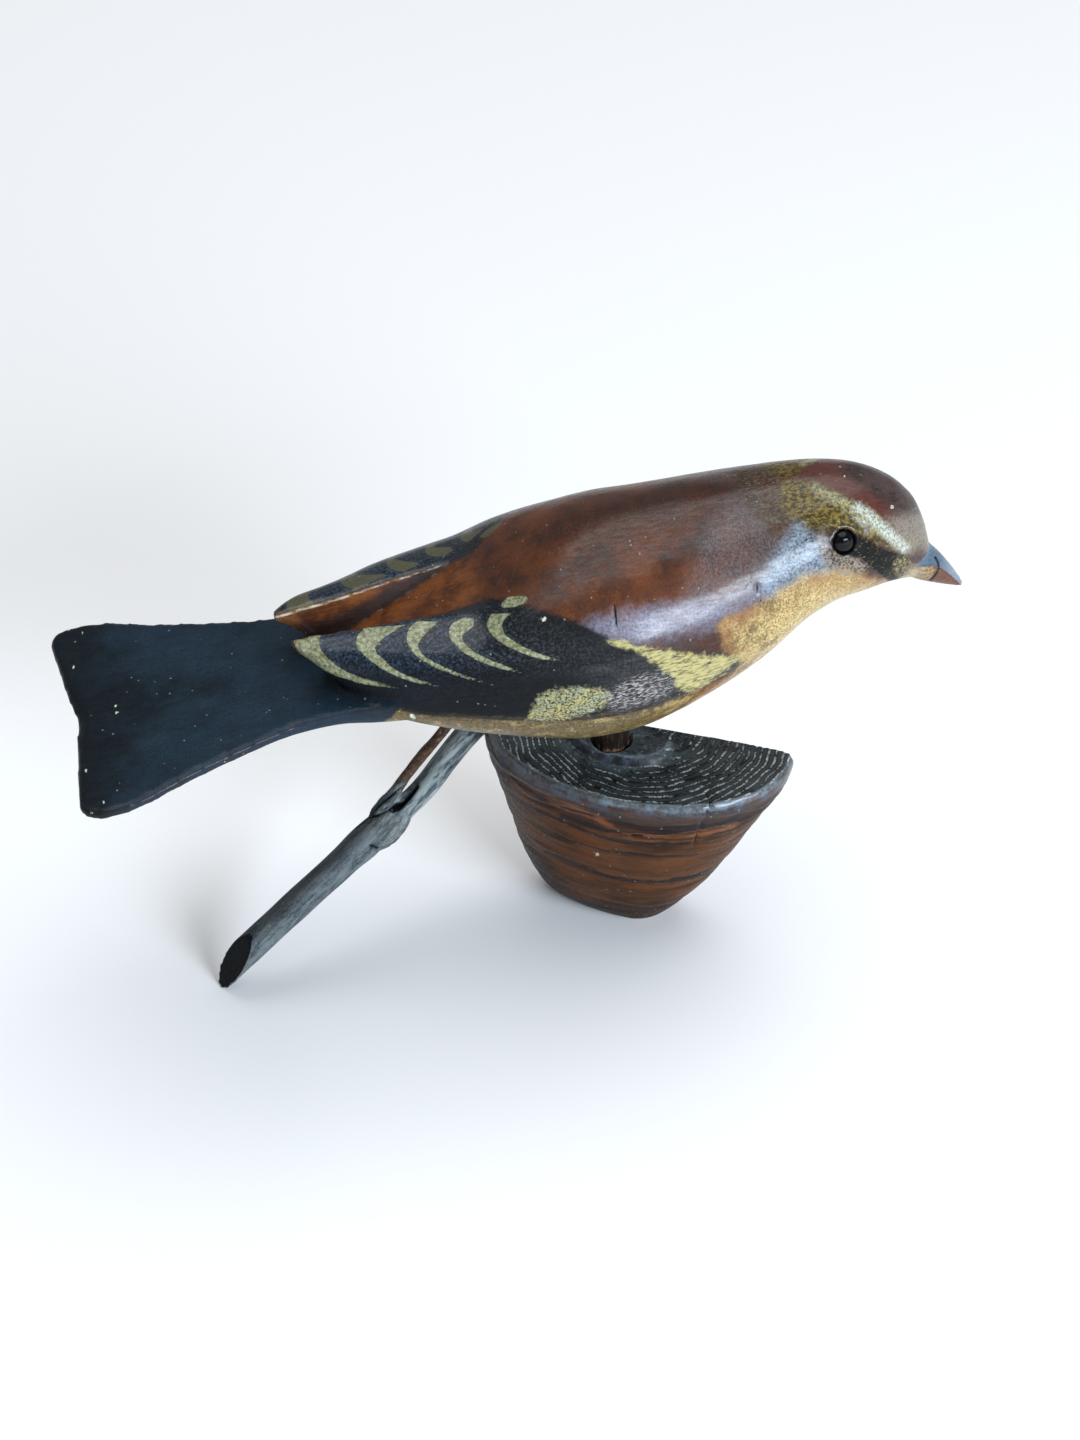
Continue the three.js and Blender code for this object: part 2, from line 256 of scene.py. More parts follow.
# A big block whose one face passes through a point and looks along a direction
def cuttingBlock(point, facing, size=60):
    bm = bmesh.new()
    bmesh.ops.create_cube(bm, size=size * mm)
    bmesh.ops.translate(bm, verts=bm.verts, vec=(0, 0, size / 2 * mm))
    turn = Vector((0, 0, 1)).rotation_difference(Vector(facing)).to_matrix().to_4x4()
    bmesh.ops.transform(bm, verts=bm.verts, matrix=Matrix.Translation(Vector(point) * mm) @ turn)
    mesh = bpy.data.meshes.new("block")
    bm.to_mesh(mesh)
    bm.free()
    return newObject("block", mesh)


# Soft unevenness, about -1 to 1, with bumps of the given size; stretch makes them longer along an axis
def uneven(points, size, seed=0.0, stretch=(1, 1, 1)):
    spots = points / (size * np.array(stretch)) + seed
    return np.array([noise.noise(Vector(p)) for p in spots.tolist()])


def smoothStep(low, high, value):
    t = np.clip((value - low) / (high - low), 0, 1)
    return t * t * (3 - 2 * t)


# Rounds a short list of points into a flowing line
def flowing(points, perStep=6, closed=False):
    p = np.array(points, float)
    ends = (p[-1:], p[:2]) if closed else (2 * p[:1] - p[1:2], 2 * p[-1:] - p[-2:-1])
    q = np.concatenate([ends[0], p, ends[1]])
    line = []
    for a, b, c, d in zip(q, q[1:], q[2:], q[3:]):
        da, db, dc = (max(np.linalg.norm(v) ** 0.5, 1e-6) for v in (b - a, c - b, d - c))
        m1 = ((b - a) / da - (c - a) / (da + db) + (c - b) / db) * db
        m2 = ((c - b) / db - (d - b) / (db + dc) + (d - c) / dc) * db
        for t in np.arange(perStep) / perStep:
            line.append(
                b + m1 * t + (3 * (c - b) - 2 * m1 - m2) * t ** 2 + (2 * (b - c) + m1 + m2) * t ** 3
            )
    if not closed:
        line.append(p[-1])
    return np.array(line)


# Distance to a line of points, and the side of a closed outline: inside is positive
def lineDistance(spots, line):
    best = np.full(len(spots), 1e9)
    for a, b in zip(line, line[1:]):
        along = b - a
        t = np.clip(((spots - a) @ along) / max(along @ along, 1e-12), 0, 1)
        best = np.minimum(best, np.linalg.norm(spots - a - t[:, None] * along, axis=1))
    return best


def outlineDistance(spots, outline):
    ring = np.concatenate([outline, outline[:1]])
    inside = np.zeros(len(spots), bool)
    x, y = spots.T
    for (ax, ay), (bx, by) in zip(ring, ring[1:]):
        if ay != by:
            crosses = ((ay > y) != (by > y)) & (x < (bx - ax) * (y - ay) / (by - ay) + ax)
            inside ^= crosses
    far = lineDistance(spots, ring)
    return np.where(inside, far, -far)


# Bird: the same sections as the solid, cut finer
bird = {
    "halfWidth": profile([
        (-56.4, 4.4), (-55.2, 5.6), (-52, 8.0), (-48, 10.0), (-44, 12.0), (-40, 13.8), (-34, 15.8),
        (-28, 17.5), (-20, 19.1), (-12, 20.0), (-6, 19.8), (0, 18.9), (8, 17.4), (16, 15.6),
        (22, 13.7), (28, 11.8), (34, 10.3), (40, 7.9), (44, 5.2), (46, 3.7), (47.2, 2.4), (47.9, 1.1),
    ]),
    "back": profile([
        (-56.4, 71.7), (-52, 72.2), (-48, 72.6), (-40, 73.8), (-28, 75.6), (-20, 79.6), (-12, 83.0),
        (-4, 84.9), (8, 86.2), (20, 87.4), (28, 88.0), (34, 87.3), (40, 84.9), (44, 81.2), (46, 77.4),
        (47.2, 73.6), (47.9, 70.8),
    ]),
    "widest": profile([
        (-56.4, 70.9), (-52, 69.6), (-48, 67.4), (-44, 66.2), (-38, 65.6), (-12, 65.5), (0, 66.5),
        (8, 68.5), (16, 71.0), (24, 74.6), (32, 76.2), (38, 75.6), (44, 72.4), (47.9, 69.0),
    ]),
    "belly": profile([
        (-56.4, 70.1), (-54, 68.5), (-51, 65.9), (-48, 62.5), (-44, 58.8), (-40, 56.3), (-32, 52.8),
        (-20, 49.0), (-8, 47.0), (-2, 47.2), (4, 49.0), (12, 52.9), (20, 58.2), (26, 63.3), (32, 65.6),
        (40, 66.3), (45.2, 65.5), (47.9, 67.2),
    ]),
    "backSquareness": profile([
        (-56.4, 3), (-52, 3.5), (-46, 3.8), (-36, 3.4), (-28, 3.0), (-20, 2.5), (-12, 2.1), (0, 2),
    ]),
    "bellySquareness": profile([(-56.4, 3), (-48, 3.4), (-40, 2.4), (-30, 2.1), (-20, 2)]),
    "ends": (-56.4, 47.9),
    "tipSkew": 0.22,  # the left wing reaches further back
    "tipStart": -44,
    "rings": 190,
    "ringPoints": 168,
    "skin": 0.5,  # size of the even skin's faces
    "sanding": 6,
}
hollow = {
    "ends": (-60, -24),
    "edgeDepth": 0.35,
    "crown": 0.35,
    "edge": profile([(-60, 2.6), (-57, 2.9), (-47.5, 3.9), (-38.5, 4.9), (-29, 5.9), (-24, 6.4)]),
    "foot": profile([
        (-60, 1.7), (-52, 1.8), (-46.7, 2.2), (-42, 2.9), (-38, 3.6), (-33, 4.7), (-29, 5.6), (-24, 6.3),
    ]),
    "floor": profile([
        (-60, 60.4), (-50, 65.2), (-46.7, 66.9), (-38, 70.8), (-33, 73.0), (-28.5, 75.2), (-24, 77.7),
    ]),
    "sky": 95,
}
tail = {
    "end": -91.2,
    "root": -34,
    "halfWidth": profile([
        (-91.2, 19.6), (-90.2, 21.3), (-87, 22.4), (-83.5, 22.0), (-74, 18.4), (-64, 15.2), (-57, 13.4),
        (-50, 13.0), (-44, 13.9), (-40, 14.2), (-34, 12.5),
    ]),
    "depth": profile([
        (-91.2, 1.9), (-75, 2.4), (-62, 3.1), (-55, 4.0), (-50, 5.2), (-44, 7.2), (-40, 8.4), (-34, 9),
    ]),
    "height": 63.0,  # of the top, this far along
    "heightAt": -55,
    "fall": 0.124,
    "edgeDepth": 1.6,
    "fork": 3.6,
    "forkLength": 12,
    "slant": 0.04,
}
beak = {
    "root": (44.6, 0, 70.3),
    "tip": (54.7, 0, 61.2),
    "rise": profile([(0, 2.9), (0.35, 2.5), (0.7, 1.6), (0.9, 0.85), (1, 0.4)]),
    "drop": profile([(0, 4.3), (0.35, 3.4), (0.7, 1.85), (0.9, 0.9), (1, 0.4)]),
    "halfWidth": profile([(0, 3.6), (0.35, 2.9), (0.7, 1.7), (0.9, 0.8), (1, 0.3)]),
}
eye = {"radius": 2.0, "centre": (29.8, 8.8, 81.0), "socketGap": 0.08}
peg = {"radius": 3.2, "place": (-3.6, 0), "bottom": 28.5, "top": 53, "gap": 0.3}


def bodyRings():
    first, last = bird["ends"]
    share = np.linspace(0, 1, bird["rings"])
    eased = 0.5 - 0.5 * np.cos(np.pi * share)  # closer rings near both ends
    rings = []
    for x in first + (last - first) * eased * 0.35 + (last - first) * share * 0.65:
        angle = 2 * np.pi * (np.arange(bird["ringPoints"]) + 0.5) / bird["ringPoints"]
        upper = np.cos(angle) > 0
        power = 2 / np.where(upper, bird["backSquareness"](x), bird["bellySquareness"](x))
        wide = bird["widest"](x)
        reach = np.where(upper, bird["back"](x) - wide, wide - bird["belly"](x))
        y = bird["halfWidth"](x) * signedPower(np.sin(angle), power)
        slant = bird["tipSkew"] * max(0, (bird["tipStart"] - x) / (bird["tipStart"] - first))
        rings.append(np.stack([x - slant * y, y, wide + reach * signedPower(np.cos(angle), power)], 1))
    return rings


def hollowRings():
    rings = []
    for x in np.linspace(*hollow["ends"], 60):
        edge, foot, floor = hollow["edge"](x), hollow["foot"](x), hollow["floor"](x)
        rim = max(floor + 0.01, bird["back"](x) - hollow["edgeDepth"])
        across = np.linspace(-1, 1, 17)
        bottom = [(foot * c, floor + hollow["crown"] * (1 - c * c)) for c in across]
        outline = [(-edge, hollow["sky"]), (-edge, rim), *bottom, (edge, rim), (edge, hollow["sky"])]
        rings.append([(x, y, z) for y, z in outline])
    return rings


def tailTop(x):
    return tail["height"] + tail["fall"] * (x - tail["heightAt"])


def tailRings():
    across = np.linspace(1, -1, 41)
    rings = []
    for share in np.linspace(0, 1, 80):
        along = tail["end"] + (tail["root"] - tail["end"]) * share ** 1.15
        fork = tail["fork"] * max(0, 1 - (along - tail["end"]) / tail["forkLength"])
        y = tail["halfWidth"](along) * across
        x = along + fork * (1 - np.abs(across)) - tail["slant"] * y
        swell = np.maximum(0, 1 - across ** 2)
        under = tail["edgeDepth"] + (tail["depth"](along) - tail["edgeDepth"]) * np.sqrt(swell)
        top = np.stack([x, y, tailTop(x)], 1)
        bottom = np.stack([x, y, tailTop(x) - under], 1)[::-1]
        rings.append(np.concatenate([top, bottom]))
    return rings


def beakAxes():
    root, tip = np.array(beak["root"]), np.array(beak["tip"])
    axis = (tip - root) / np.linalg.norm(tip - root)
    return root, tip, axis, np.array([-axis[2], 0, axis[0]])


def beakRings():
    root, tip, _, upward = beakAxes()
    angle = np.linspace(0, 2 * np.pi, 64, endpoint=False)
    rings = []
    for share in np.linspace(0, 1, 40):
        height = np.where(np.cos(angle) > 0, beak["rise"](share), beak["drop"](share)) * np.cos(angle)
        side = beak["halfWidth"](share) * np.sin(angle)
        centre = root + (tip - root) * share
        rings.append(centre + side[:, None] * np.array([0, 1, 0]) + height[:, None] * upward)
    return rings


def eyePlace(side):
    x, y, z = eye["centre"]
    return (x, side * y, z)


def carveBird():
    body = loft("chaffinch", bodyRings())
    combine(body, loft("hollow", hollowRings()), "DIFFERENCE")
    combine(body, loft("tail", tailRings()), "UNION")
    combine(body, loft("beak", beakRings()), "UNION")
    for side in (1, -1):
        combine(body, ball("socket", eye["radius"] + eye["socketGap"], eyePlace(side)), "DIFFERENCE")
    hole = rod("hole", peg["radius"] + peg["gap"], peg["bottom"], peg["top"] + peg["gap"], peg["place"])
    combine(body, hole, "DIFFERENCE")
    evenSkin(body, bird["skin"], bird["sanding"])
    return body


chaffinch = carveBird()
print("bird carved:", len(chaffinch.data.polygons), "faces")


# Perch: a half-round block, its flat back turned from the bird's own line
perch = {
    "height": 36.6,
    "centre": (3.8, 3.5),  # middle of the growth rings, on the back face
    "turn": -27.4,
    "right": profile([
        (0, 4.4), (2, 6.4), (6.5, 10.0), (11.2, 13.4), (16, 16.0), (19.5, 17.9), (24.9, 20.3),
        (29.7, 22.7), (33, 24.2), (35.4, 24.7), (36.6, 24.1),
    ]),
    "left": profile([
        (0, 14.0), (2, 16.3), (5, 18.5), (10, 21.0), (16, 22.9), (20, 24.0), (25, 25.5), (30, 26.9),
        (34.5, 27.6), (36.6, 26.9),
    ]),
    "front": profile([
        (0, 9.7), (2, 11.6), (5, 13.2), (10, 14.9), (16, 16.3), (22, 17.5), (28, 18.7), (34, 19.5),
        (35.6, 19.3), (36.6, 18.5),
    ]),
    "widestShare": profile([(0, 0.5), (8, 0.3), (20, 0.16), (36.6, 0.1)]),
    "backFlatness": profile([(0, 2), (8, 3.4), (20, 6), (36.6, 8)]),
    "mound": (-4.5, 6.2),  # along and in front of the back face
    "moundHeight": 1.7,
    "points": 320,
    "sideSteps": 92,
    "topSteps": 58,
}


def perchPlace(along, front, z):
    turn = math.radians(perch["turn"])
    x = perch["centre"][0] + along * math.cos(turn) + front * math.sin(turn)
    y = perch["centre"][1] + along * math.sin(turn) - front * math.cos(turn)
    return np.stack([x, y, np.broadcast_to(z, x.shape)], 1)


def perchOutline(z):
    angle = np.linspace(0, 2 * np.pi, perch["points"], endpoint=False)
    front = perch["front"](z)
    widest = front * perch["widestShare"](z)
    power = 2 / perch["backFlatness"](z)
    reach = np.where(np.cos(angle) > 0, perch["right"](z), perch["left"](z))
    ahead = angle <= np.pi
    along = np.where(ahead, reach * np.cos(angle), reach * signedPower(np.cos(angle), power))
    out = np.where(
        ahead, widest + (front - widest) * np.sin(angle), widest * (1 - np.abs(np.sin(angle)) ** power)
    )
    return along, out


def perchRings():
    rings = []
    footAlong, footOut = perchOutline(0)
    for share in (0.25, 0.5, 0.7, 0.85, 0.95):
        rings.append(perchPlace(footAlong * share, 5 + (footOut - 5) * share, 0))
    for z in perch["height"] * np.linspace(0, 1, perch["sideSteps"]) ** 0.92:
        rings.append(perchPlace(*perchOutline(z), z))
    rimAlong, rimOut = perchOutline(perch["height"])
    middleAlong, middleOut = perch["mound"]
    for share in np.linspace(0.99, 0.02, perch["topSteps"]):
        lift = perch["moundHeight"] * smoothStep(0.42, 0.3, share)
        along = middleAlong + (rimAlong - middleAlong) * share
        out = middleOut + (rimOut - middleOut) * share
        rings.append(perchPlace(along, out, perch["height"] + lift))
    return rings


def turnPerch():
    block = loft("perch_block", perchRings())
    hole = rod("hole", peg["radius"] + peg["gap"], peg["bottom"] - peg["gap"], peg["top"], peg["place"])
    combine(block, hole, "DIFFERENCE")
    return block


perchBlock = turnPerch()
print("perch turned:", len(perchBlock.data.polygons), "faces")


# Twig: a forked stick, the stem and the thin branch on paths of their own
twig = {
    "stem": [
        (-76.2, -8.1, 0.5), (-69.2, -5.4, 5.0), (-64.7, -3.8, 7.8), (-56.3, -0.7, 12.9),
        (-47.8, 2.5, 17.9), (-41.3, 5.2, 21.5), (-37.5, 6.8, 23.2), (-33.5, 8.6, 25.6),
        (-29.8, 10.7, 28.7), (-25.8, 12.7, 31.9), (-22.8, 13.9, 33.2), (-19.4, 12.2, 33.3),
        (-15, 9.2, 32.6),
    ],
    "stemRadius": profile([
        (0, 2.7), (0.12, 2.55), (0.44, 2.6), (0.5, 2.9), (0.57, 2.5), (0.64, 2.1), (0.86, 2.1), (1, 1.7),
    ]),
    "branch": [
        (-42.5, 5.3, 22.4), (-38.0, 6.4, 29.2), (-34.7, 7.2, 33.3), (-30.4, 8.0, 38.0),
        (-27.9, 8.6, 41.2),
    ],
    "branchRadius": profile([(0, 2.0), (0.14, 1.7), (0.3, 1.0), (1, 0.85)]),
    "knot": (-41.2, 4.7, 20.8),
    "knotSize": (5.4, 2.7, 2.7),
    "heading": (0.8, 0.31, 0.51),
    "cut": (-69.7, -5.67, 4.63),
    "cutFacing": (-0.749, -0.415, 0.516),
    "skin": 0.3,
    "sanding": 2,
}


# Geometry nodes: a round stick along a path, its thickness read from the path's own points
def stickTree():
    tree = bpy.data.node_groups.new("stickAlongPath", "GeometryNodeTree")
    tree.interface.new_socket("Geometry", in_out="INPUT", socket_type="NodeSocketGeometry")
    sides = tree.interface.new_socket("Sides", in_out="INPUT", socket_type="NodeSocketInt")
    tree.interface.new_socket("Finish", in_out="INPUT", socket_type="NodeSocketMaterial")
    tree.interface.new_socket("Geometry", in_out="OUTPUT", socket_type="NodeSocketGeometry")
    start = tree.nodes.new("NodeGroupInput")
    end = tree.nodes.new("NodeGroupOutput")
    path = tree.nodes.new("GeometryNodeMeshToCurve")
    thickness = tree.nodes.new("GeometryNodeInputNamedAttribute")
    thickness.data_type = "FLOAT"
    thickness.inputs["Name"].default_value = "thickness"
    ring = tree.nodes.new("GeometryNodeCurvePrimitiveCircle")
    ring.inputs["Radius"].default_value = 1
    tube = tree.nodes.new("GeometryNodeCurveToMesh")
    tube.inputs["Fill Caps"].default_value = True
    real = tree.nodes.new("GeometryNodeRealizeInstances")
    paint = tree.nodes.new("GeometryNodeSetMaterial")
    link = tree.links.new
    link(start.outputs["Geometry"], path.inputs["Mesh"])
    link(path.outputs["Curve"], tube.inputs["Curve"])
    link(thickness.outputs["Attribute"], tube.inputs["Scale"])
    link(start.outputs["Sides"], ring.inputs["Resolution"])
    link(ring.outputs["Curve"], tube.inputs["Profile Curve"])
    link(tube.outputs["Mesh"], real.inputs["Geometry"])
    link(real.outputs["Geometry"], paint.inputs["Geometry"])
    link(start.outputs["Finish"], paint.inputs["Material"])
    link(paint.outputs["Geometry"], end.inputs["Geometry"])
    return tree, sides.identifier


def growStick(name, route, radius, sides, tools):
    tree, sidesInput = tools
    line = flowing(route, 12)
    run = np.concatenate([[0], np.cumsum(np.linalg.norm(np.diff(line, axis=0), axis=1))])
    share = np.linspace(0, 1, int(run[-1] / 0.7))
    spots = np.stack([np.interp(share * run[-1], run, line[:, k]) for k in range(3)], 1)
    mesh = bpy.data.meshes.new(name)
    mesh.from_pydata((spots * mm).tolist(), [(i, i + 1) for i in range(len(spots) - 1)], [])
    writeLayer(mesh, "thickness", radius(share) * mm)
    stick = newObject(name, mesh)
    grow = stick.modifiers.new("stick", "NODES")
    grow.node_group = tree
    grow[sidesInput] = sides
    bakeModifiers(stick)
    outwardFaces(stick.data)
    return stick


def growTwig():
    tools = stickTree()
    stem = growStick("twig_stem", twig["stem"], twig["stemRadius"], 40, tools)
    combine(stem, growStick("branch", twig["branch"], twig["branchRadius"], 24, tools), "UNION")
    knot = ball("knot", 1 / mm, (0, 0, 0))
    turn = Vector((1, 0, 0)).rotation_difference(Vector(twig["heading"])).to_matrix().to_4x4()
    size = Matrix.Diagonal((*(Vector(twig["knotSize"]) * mm), 1))
    knot.data.transform(Matrix.Translation(Vector(twig["knot"]) * mm) @ turn @ size)
    combine(stem, knot, "UNION")
    combine(stem, cuttingBlock(twig["cut"], twig["cutFacing"]), "DIFFERENCE")
    combine(stem, cuttingBlock((twig["cut"][0], twig["cut"][1], 0), (0, 0, -1)), "DIFFERENCE")
    evenSkin(stem, twig["skin"], twig["sanding"])
    return stem


twigStem = growTwig()
print("twig grown:", len(twigStem.data.polygons), "faces")

# Peg: a dark whittled stub
def whittlePeg():
    angle = np.linspace(0, 2 * np.pi, 48, endpoint=False)
    heights = np.linspace(peg["bottom"] + 0.2, peg["top"] - 0.2, 60)
    rings = []
    for z in heights:
        facets = 0.16 * np.abs(np.sin(3.5 * angle + 0.04 * z)) + 0.1 * np.sin(2 * angle + z / 5)
        r = peg["radius"] - 0.15 - facets
        rings.append(np.stack([
            peg["place"][0] + r * np.cos(angle), peg["place"][1] + r * np.sin(angle), np.full(48, z)
        ], 1))
    return loft("peg_stub", rings)


# Eyes: glass beads with a slightly flattened front
def makeBead(name, side):
    bead = ball(name, eye["radius"], eyePlace(side), 64)
    points = readPoints(bead.data)
    out = side * (points[:, 1] - side * eye["centre"][1])
    points[:, 1] -= side * 0.22 * smoothStep(1.2, 2.0, out)
    writePoints(bead.data, points)
    return bead


pegStub = whittlePeg()
eyeBeads = {-1: makeBead("eye_bead_right", -1), 1: makeBead("eye_bead_left", 1)}
print("peg and eyes made")


# How the surface bends at each point: above 0 on ridges, below 0 in creases, in millimetres
def surfaceBend(mesh, points, normals, passes=2):
    pairs = np.empty(len(mesh.edges) * 2, np.int32)
    mesh.edges.foreach_get("vertices", pairs)
    a, b = pairs.reshape(-1, 2).T
    total = len(points)
    count = np.maximum(np.bincount(a, minlength=total) + np.bincount(b, minlength=total), 1)

    def around(value):
        return (np.bincount(a, value[b], total) + np.bincount(b, value[a], total)) / count

    bend = ((points - np.stack([around(points[:, k]) for k in range(3)], 1)) * normals).sum(1)
    for _ in range(passes):
        bend = 0.5 * bend + 0.5 * around(bend)
    return bend


# Faces near the beak and the eyes are cut once more, for their finer carving
def refine(mesh, chosen):
    bm = bmesh.new()
    bm.from_mesh(mesh)
    bm.verts.ensure_lookup_table()
    edges = [e for e in bm.edges if chosen[e.verts[0].index] and chosen[e.verts[1].index]]
    bmesh.ops.subdivide_edges(bm, edges=edges, cuts=1, use_grid_fill=True)
    bm.to_mesh(mesh)
    bm.free()


# Cracks in the bird, in the photograph's pixels
darkCracks = {
    "neck": [(757, 585), (758, 592), (761, 601)],
    "shoulder": [(615, 604), (616, 620), (617, 637)],
    "beak": [(935, 557), (938, 563), (938.5, 569), (935, 575), (930, 580)],
    "nick": [(752, 575), (749, 583), (745, 588)],
}

# Fine carving of the bird, in millimetres
birdCarving = {
    "unevenness": 0.09,  # of the sanded wood
    "unevenSize": 7,
    "toolMarks": 0.035,
    "toolMarkSize": 2.2,
    "lidHeight": 0.14,
    "lidReach": 2.5,  # radius of the lid round the bead
    "lidWidth": 0.38,
    "socketHollow": 0.07,
    "gapeDepth": 0.3,
    "gapeWidth": 0.28,
    "gape": [(909, 567), (922, 567), (936, 566), (948, 573), (958, 582)],  # in the picture
    "crackDepth": 0.25,
    "crackWidth": 0.16,
}


def mirrored(points):
    return points * (1, 0, 1) - np.abs(points) * (0, 1, 0)


def carveDetails(body):
    s = birdCarving
    mesh = body.data
    points = readPoints(mesh)
    eyes = [np.linalg.norm(points - eyePlace(side), axis=1) for side in (1, -1)]
    refine(mesh, (points[:, 0] > 40.5) | (np.minimum(*eyes) < 4.4))
    points, normals = readPoints(mesh), readNormals(mesh)
    push = s["unevenness"] * uneven(points, s["unevenSize"], 3.1)
    push += s["toolMarks"] * uneven(points, s["toolMarkSize"], 8.7, (2.5, 1, 1))
    reach = np.minimum(*[np.linalg.norm(points - eyePlace(side), axis=1) for side in (1, -1)])
    push += s["lidHeight"] * np.exp(-((reach - s["lidReach"]) / s["lidWidth"]) ** 2)
    push -= s["socketHollow"] * np.exp(-((reach - s["lidReach"] - 1.3) / 0.8) ** 2)
    spots = toPicture(mirrored(points))
    nearSide = points[:, 1] < 0
    beakPart = points[:, 0] > 44
    gape = lineDistance(spots, flowing(s["gape"])) / pixelsPerMm
    push -= np.where(beakPart, s["gapeDepth"] * np.exp(-(gape / s["gapeWidth"]) ** 2), 0)
    for name in ("beak", "neck", "shoulder"):
        away = lineDistance(spots, flowing(darkCracks[name])) / pixelsPerMm
        push -= np.where(nearSide, s["crackDepth"] * np.exp(-(away / s["crackWidth"]) ** 2), 0)
    writePoints(mesh, points + normals * push[:, None])


pixelsPerMm = 6.3  # at the bird
carveDetails(chaffinch)
print("bird's fine carving done:", len(chaffinch.data.polygons), "faces")


# The painted marks, as outlines in the photograph's pixels. The left side is painted as the right one.
birdMarks = {
    "wingPanel": [
        (286, 640), (296, 622), (340, 610), (400, 596), (460, 592), (505, 600), (545, 611), (585, 626),
        (612, 639), (660, 652), (700, 658), (735, 655), (740, 664), (700, 688), (650, 707), (600, 715),
        (540, 718), (470, 716), (412, 712), (345, 691), (300, 661),
    ],
    "gold": [
        (290, 672), (345, 693), (412, 713), (470, 717), (540, 719), (600, 716), (650, 708), (701, 688),
        (738, 664), (724, 652), (722, 640), (719, 623), (732, 615), (744, 609), (760, 602), (770, 595),
        (785, 586), (804, 574), (830, 569), (852, 570), (878, 579), (893, 580), (905, 586), (930, 590),
        (980, 600), (1040, 700), (900, 900), (300, 900),
    ],
    "lowerLine": [
        (345, 691), (412, 712), (470, 717), (540, 720), (600, 717), (642, 708), (675, 695), (703, 685),
    ],
    "oliveStroke": [(461, 567), (476, 561), (494, 558)],
    "creamSpot": [(501, 606), (507, 598), (518, 596), (527, 597), (526, 602), (517, 606), (506, 607.5)],
    "upperBar": [
        (608, 641), (623, 640), (637, 646), (659, 649), (682, 653), (706, 655), (728, 656), (744, 655),
        (733, 664), (718, 676), (706, 684), (692, 691), (677, 688), (674, 680), (666, 673), (650, 660),
        (636, 651), (617, 646),
    ],
    "lowerBar": [
        (528, 718), (533, 706), (541, 696), (552, 691), (568, 688), (601, 689), (612, 694), (603, 706),
        (589, 713), (568, 718), (548, 720),
    ],
    # silvery strokes that take a painted highlight
    "silverSheenStrokes": [
        (606, 700), (620, 684), (646, 675), (668, 674), (676, 681), (668, 693), (640, 704), (612, 710),
    ],
    "crown": [
        (762, 440), (768, 470), (785, 478), (803, 481), (816, 485), (830, 491), (845, 498), (860, 505),
        (869, 511), (880, 518), (888, 526), (894, 532), (908, 528), (930, 520), (950, 500), (940, 430),
    ],
    "crownRed": [
        (778, 455), (792, 461), (815, 463), (838, 470), (852, 482), (868, 492), (888, 508), (897, 517),
        (893, 522), (880, 518), (869, 511), (845, 498), (830, 491), (816, 485), (803, 481), (788, 478),
        (778, 470),
    ],
    "nape": [
        (744, 440), (738, 470), (745, 500), (755, 520), (775, 536), (797, 534), (812, 524), (806, 500),
        (786, 478), (768, 462),
    ],
    "brow": [
        (785, 478), (803, 481), (816, 485), (830, 491), (845, 498), (860, 505), (869, 511), (880, 518),
        (888, 526), (896, 534), (910, 540), (922, 542), (914, 551), (903, 553), (894, 550.5),
        (883, 546), (869, 540), (857, 534), (842, 530), (825, 531), (808, 530), (792, 520), (780, 500),
    ],
    "browPale": [
        (812, 483), (830, 491), (845, 498), (860, 505), (869, 511), (880, 518), (888, 526), (896, 534),
        (908, 541), (904, 549), (893, 543), (880, 535), (866, 526), (850, 514), (832, 503), (814, 493),
    ],
    "forehead": [
        (888, 519), (908, 515), (940, 508), (940, 556), (922, 549), (906, 552), (896, 545), (890, 530),
    ],
    "lores": [
        (830, 543), (834, 536), (845, 532.5), (856, 534), (866, 538.5), (884, 549), (898, 553.5),
        (909, 560), (906, 570), (900, 578), (892, 582), (880, 574), (873, 569), (861, 558.5),
        (848, 555), (837, 551),
    ],
    "underEye": [
        (822, 545), (836, 552), (848, 556), (860, 560), (868, 567), (856, 576), (836, 574), (822, 560),
    ],
    "gapeCream": [
        (895, 560), (905, 556), (912, 563), (925, 567), (934, 569), (930, 579), (916, 582), (902, 581),
        (894, 572),
    ],
    # the cheek patch that takes the painted blue reflection
    "cheek": [
        (798, 523), (812, 536), (822, 550), (830, 562), (828, 571), (806, 575), (786, 586), (771, 595),
        (762, 588), (768, 570), (778, 552), (788, 534),
    ],
    "neckGrey": [
        (738, 500), (765, 524), (786, 548), (774, 580), (748, 602), (712, 606), (686, 592), (696, 556),
        (712, 524),
    ],
    # the shoulder band that carries the painted lavender highlight
    "shoulder": [
        (585, 626), (620, 612), (660, 606), (700, 600), (740, 590), (768, 580), (774, 594), (752, 605),
        (728, 620), (680, 634), (640, 642), (606, 640),
    ],
}
# Cream feather edges: outer side from the top down to the tip, then the inner side
crescents = [
    ([(296, 626), (293.6, 636), (295, 645), (303, 658), (325, 671), (347, 679), (364, 684), (399, 688)],
     [(327, 626), (319, 640), (323, 653), (340, 668), (358, 677)]),
    ([(364, 628), (357, 637), (356.5, 646), (364, 655), (381, 668), (399, 677), (416, 682.5), (439, 686)],
     [(404, 625), (381, 640), (375, 649), (384, 660), (399, 672), (420, 680)]),
    ([(416, 621), (408, 631), (407, 640), (412, 651), (425, 662), (444, 671), (468, 679), (494, 685)],
     [(439, 622), (425, 634), (418, 645), (423, 655), (438, 664), (459.5, 674)]),
    ([(464, 617.5), (451, 625), (449.5, 636), (459.5, 649), (477, 660), (498.5, 668), (522, 673)],
     [(474, 618.5), (472.5, 627), (461.6, 636), (468, 647), (485.5, 658), (503, 665)]),
    ([(491, 614), (487, 625), (493, 636), (505, 645), (520, 652), (542, 659), (562, 661)],
     [(511.5, 613), (502, 623), (505, 634), (520, 645), (537.5, 653)]),
]
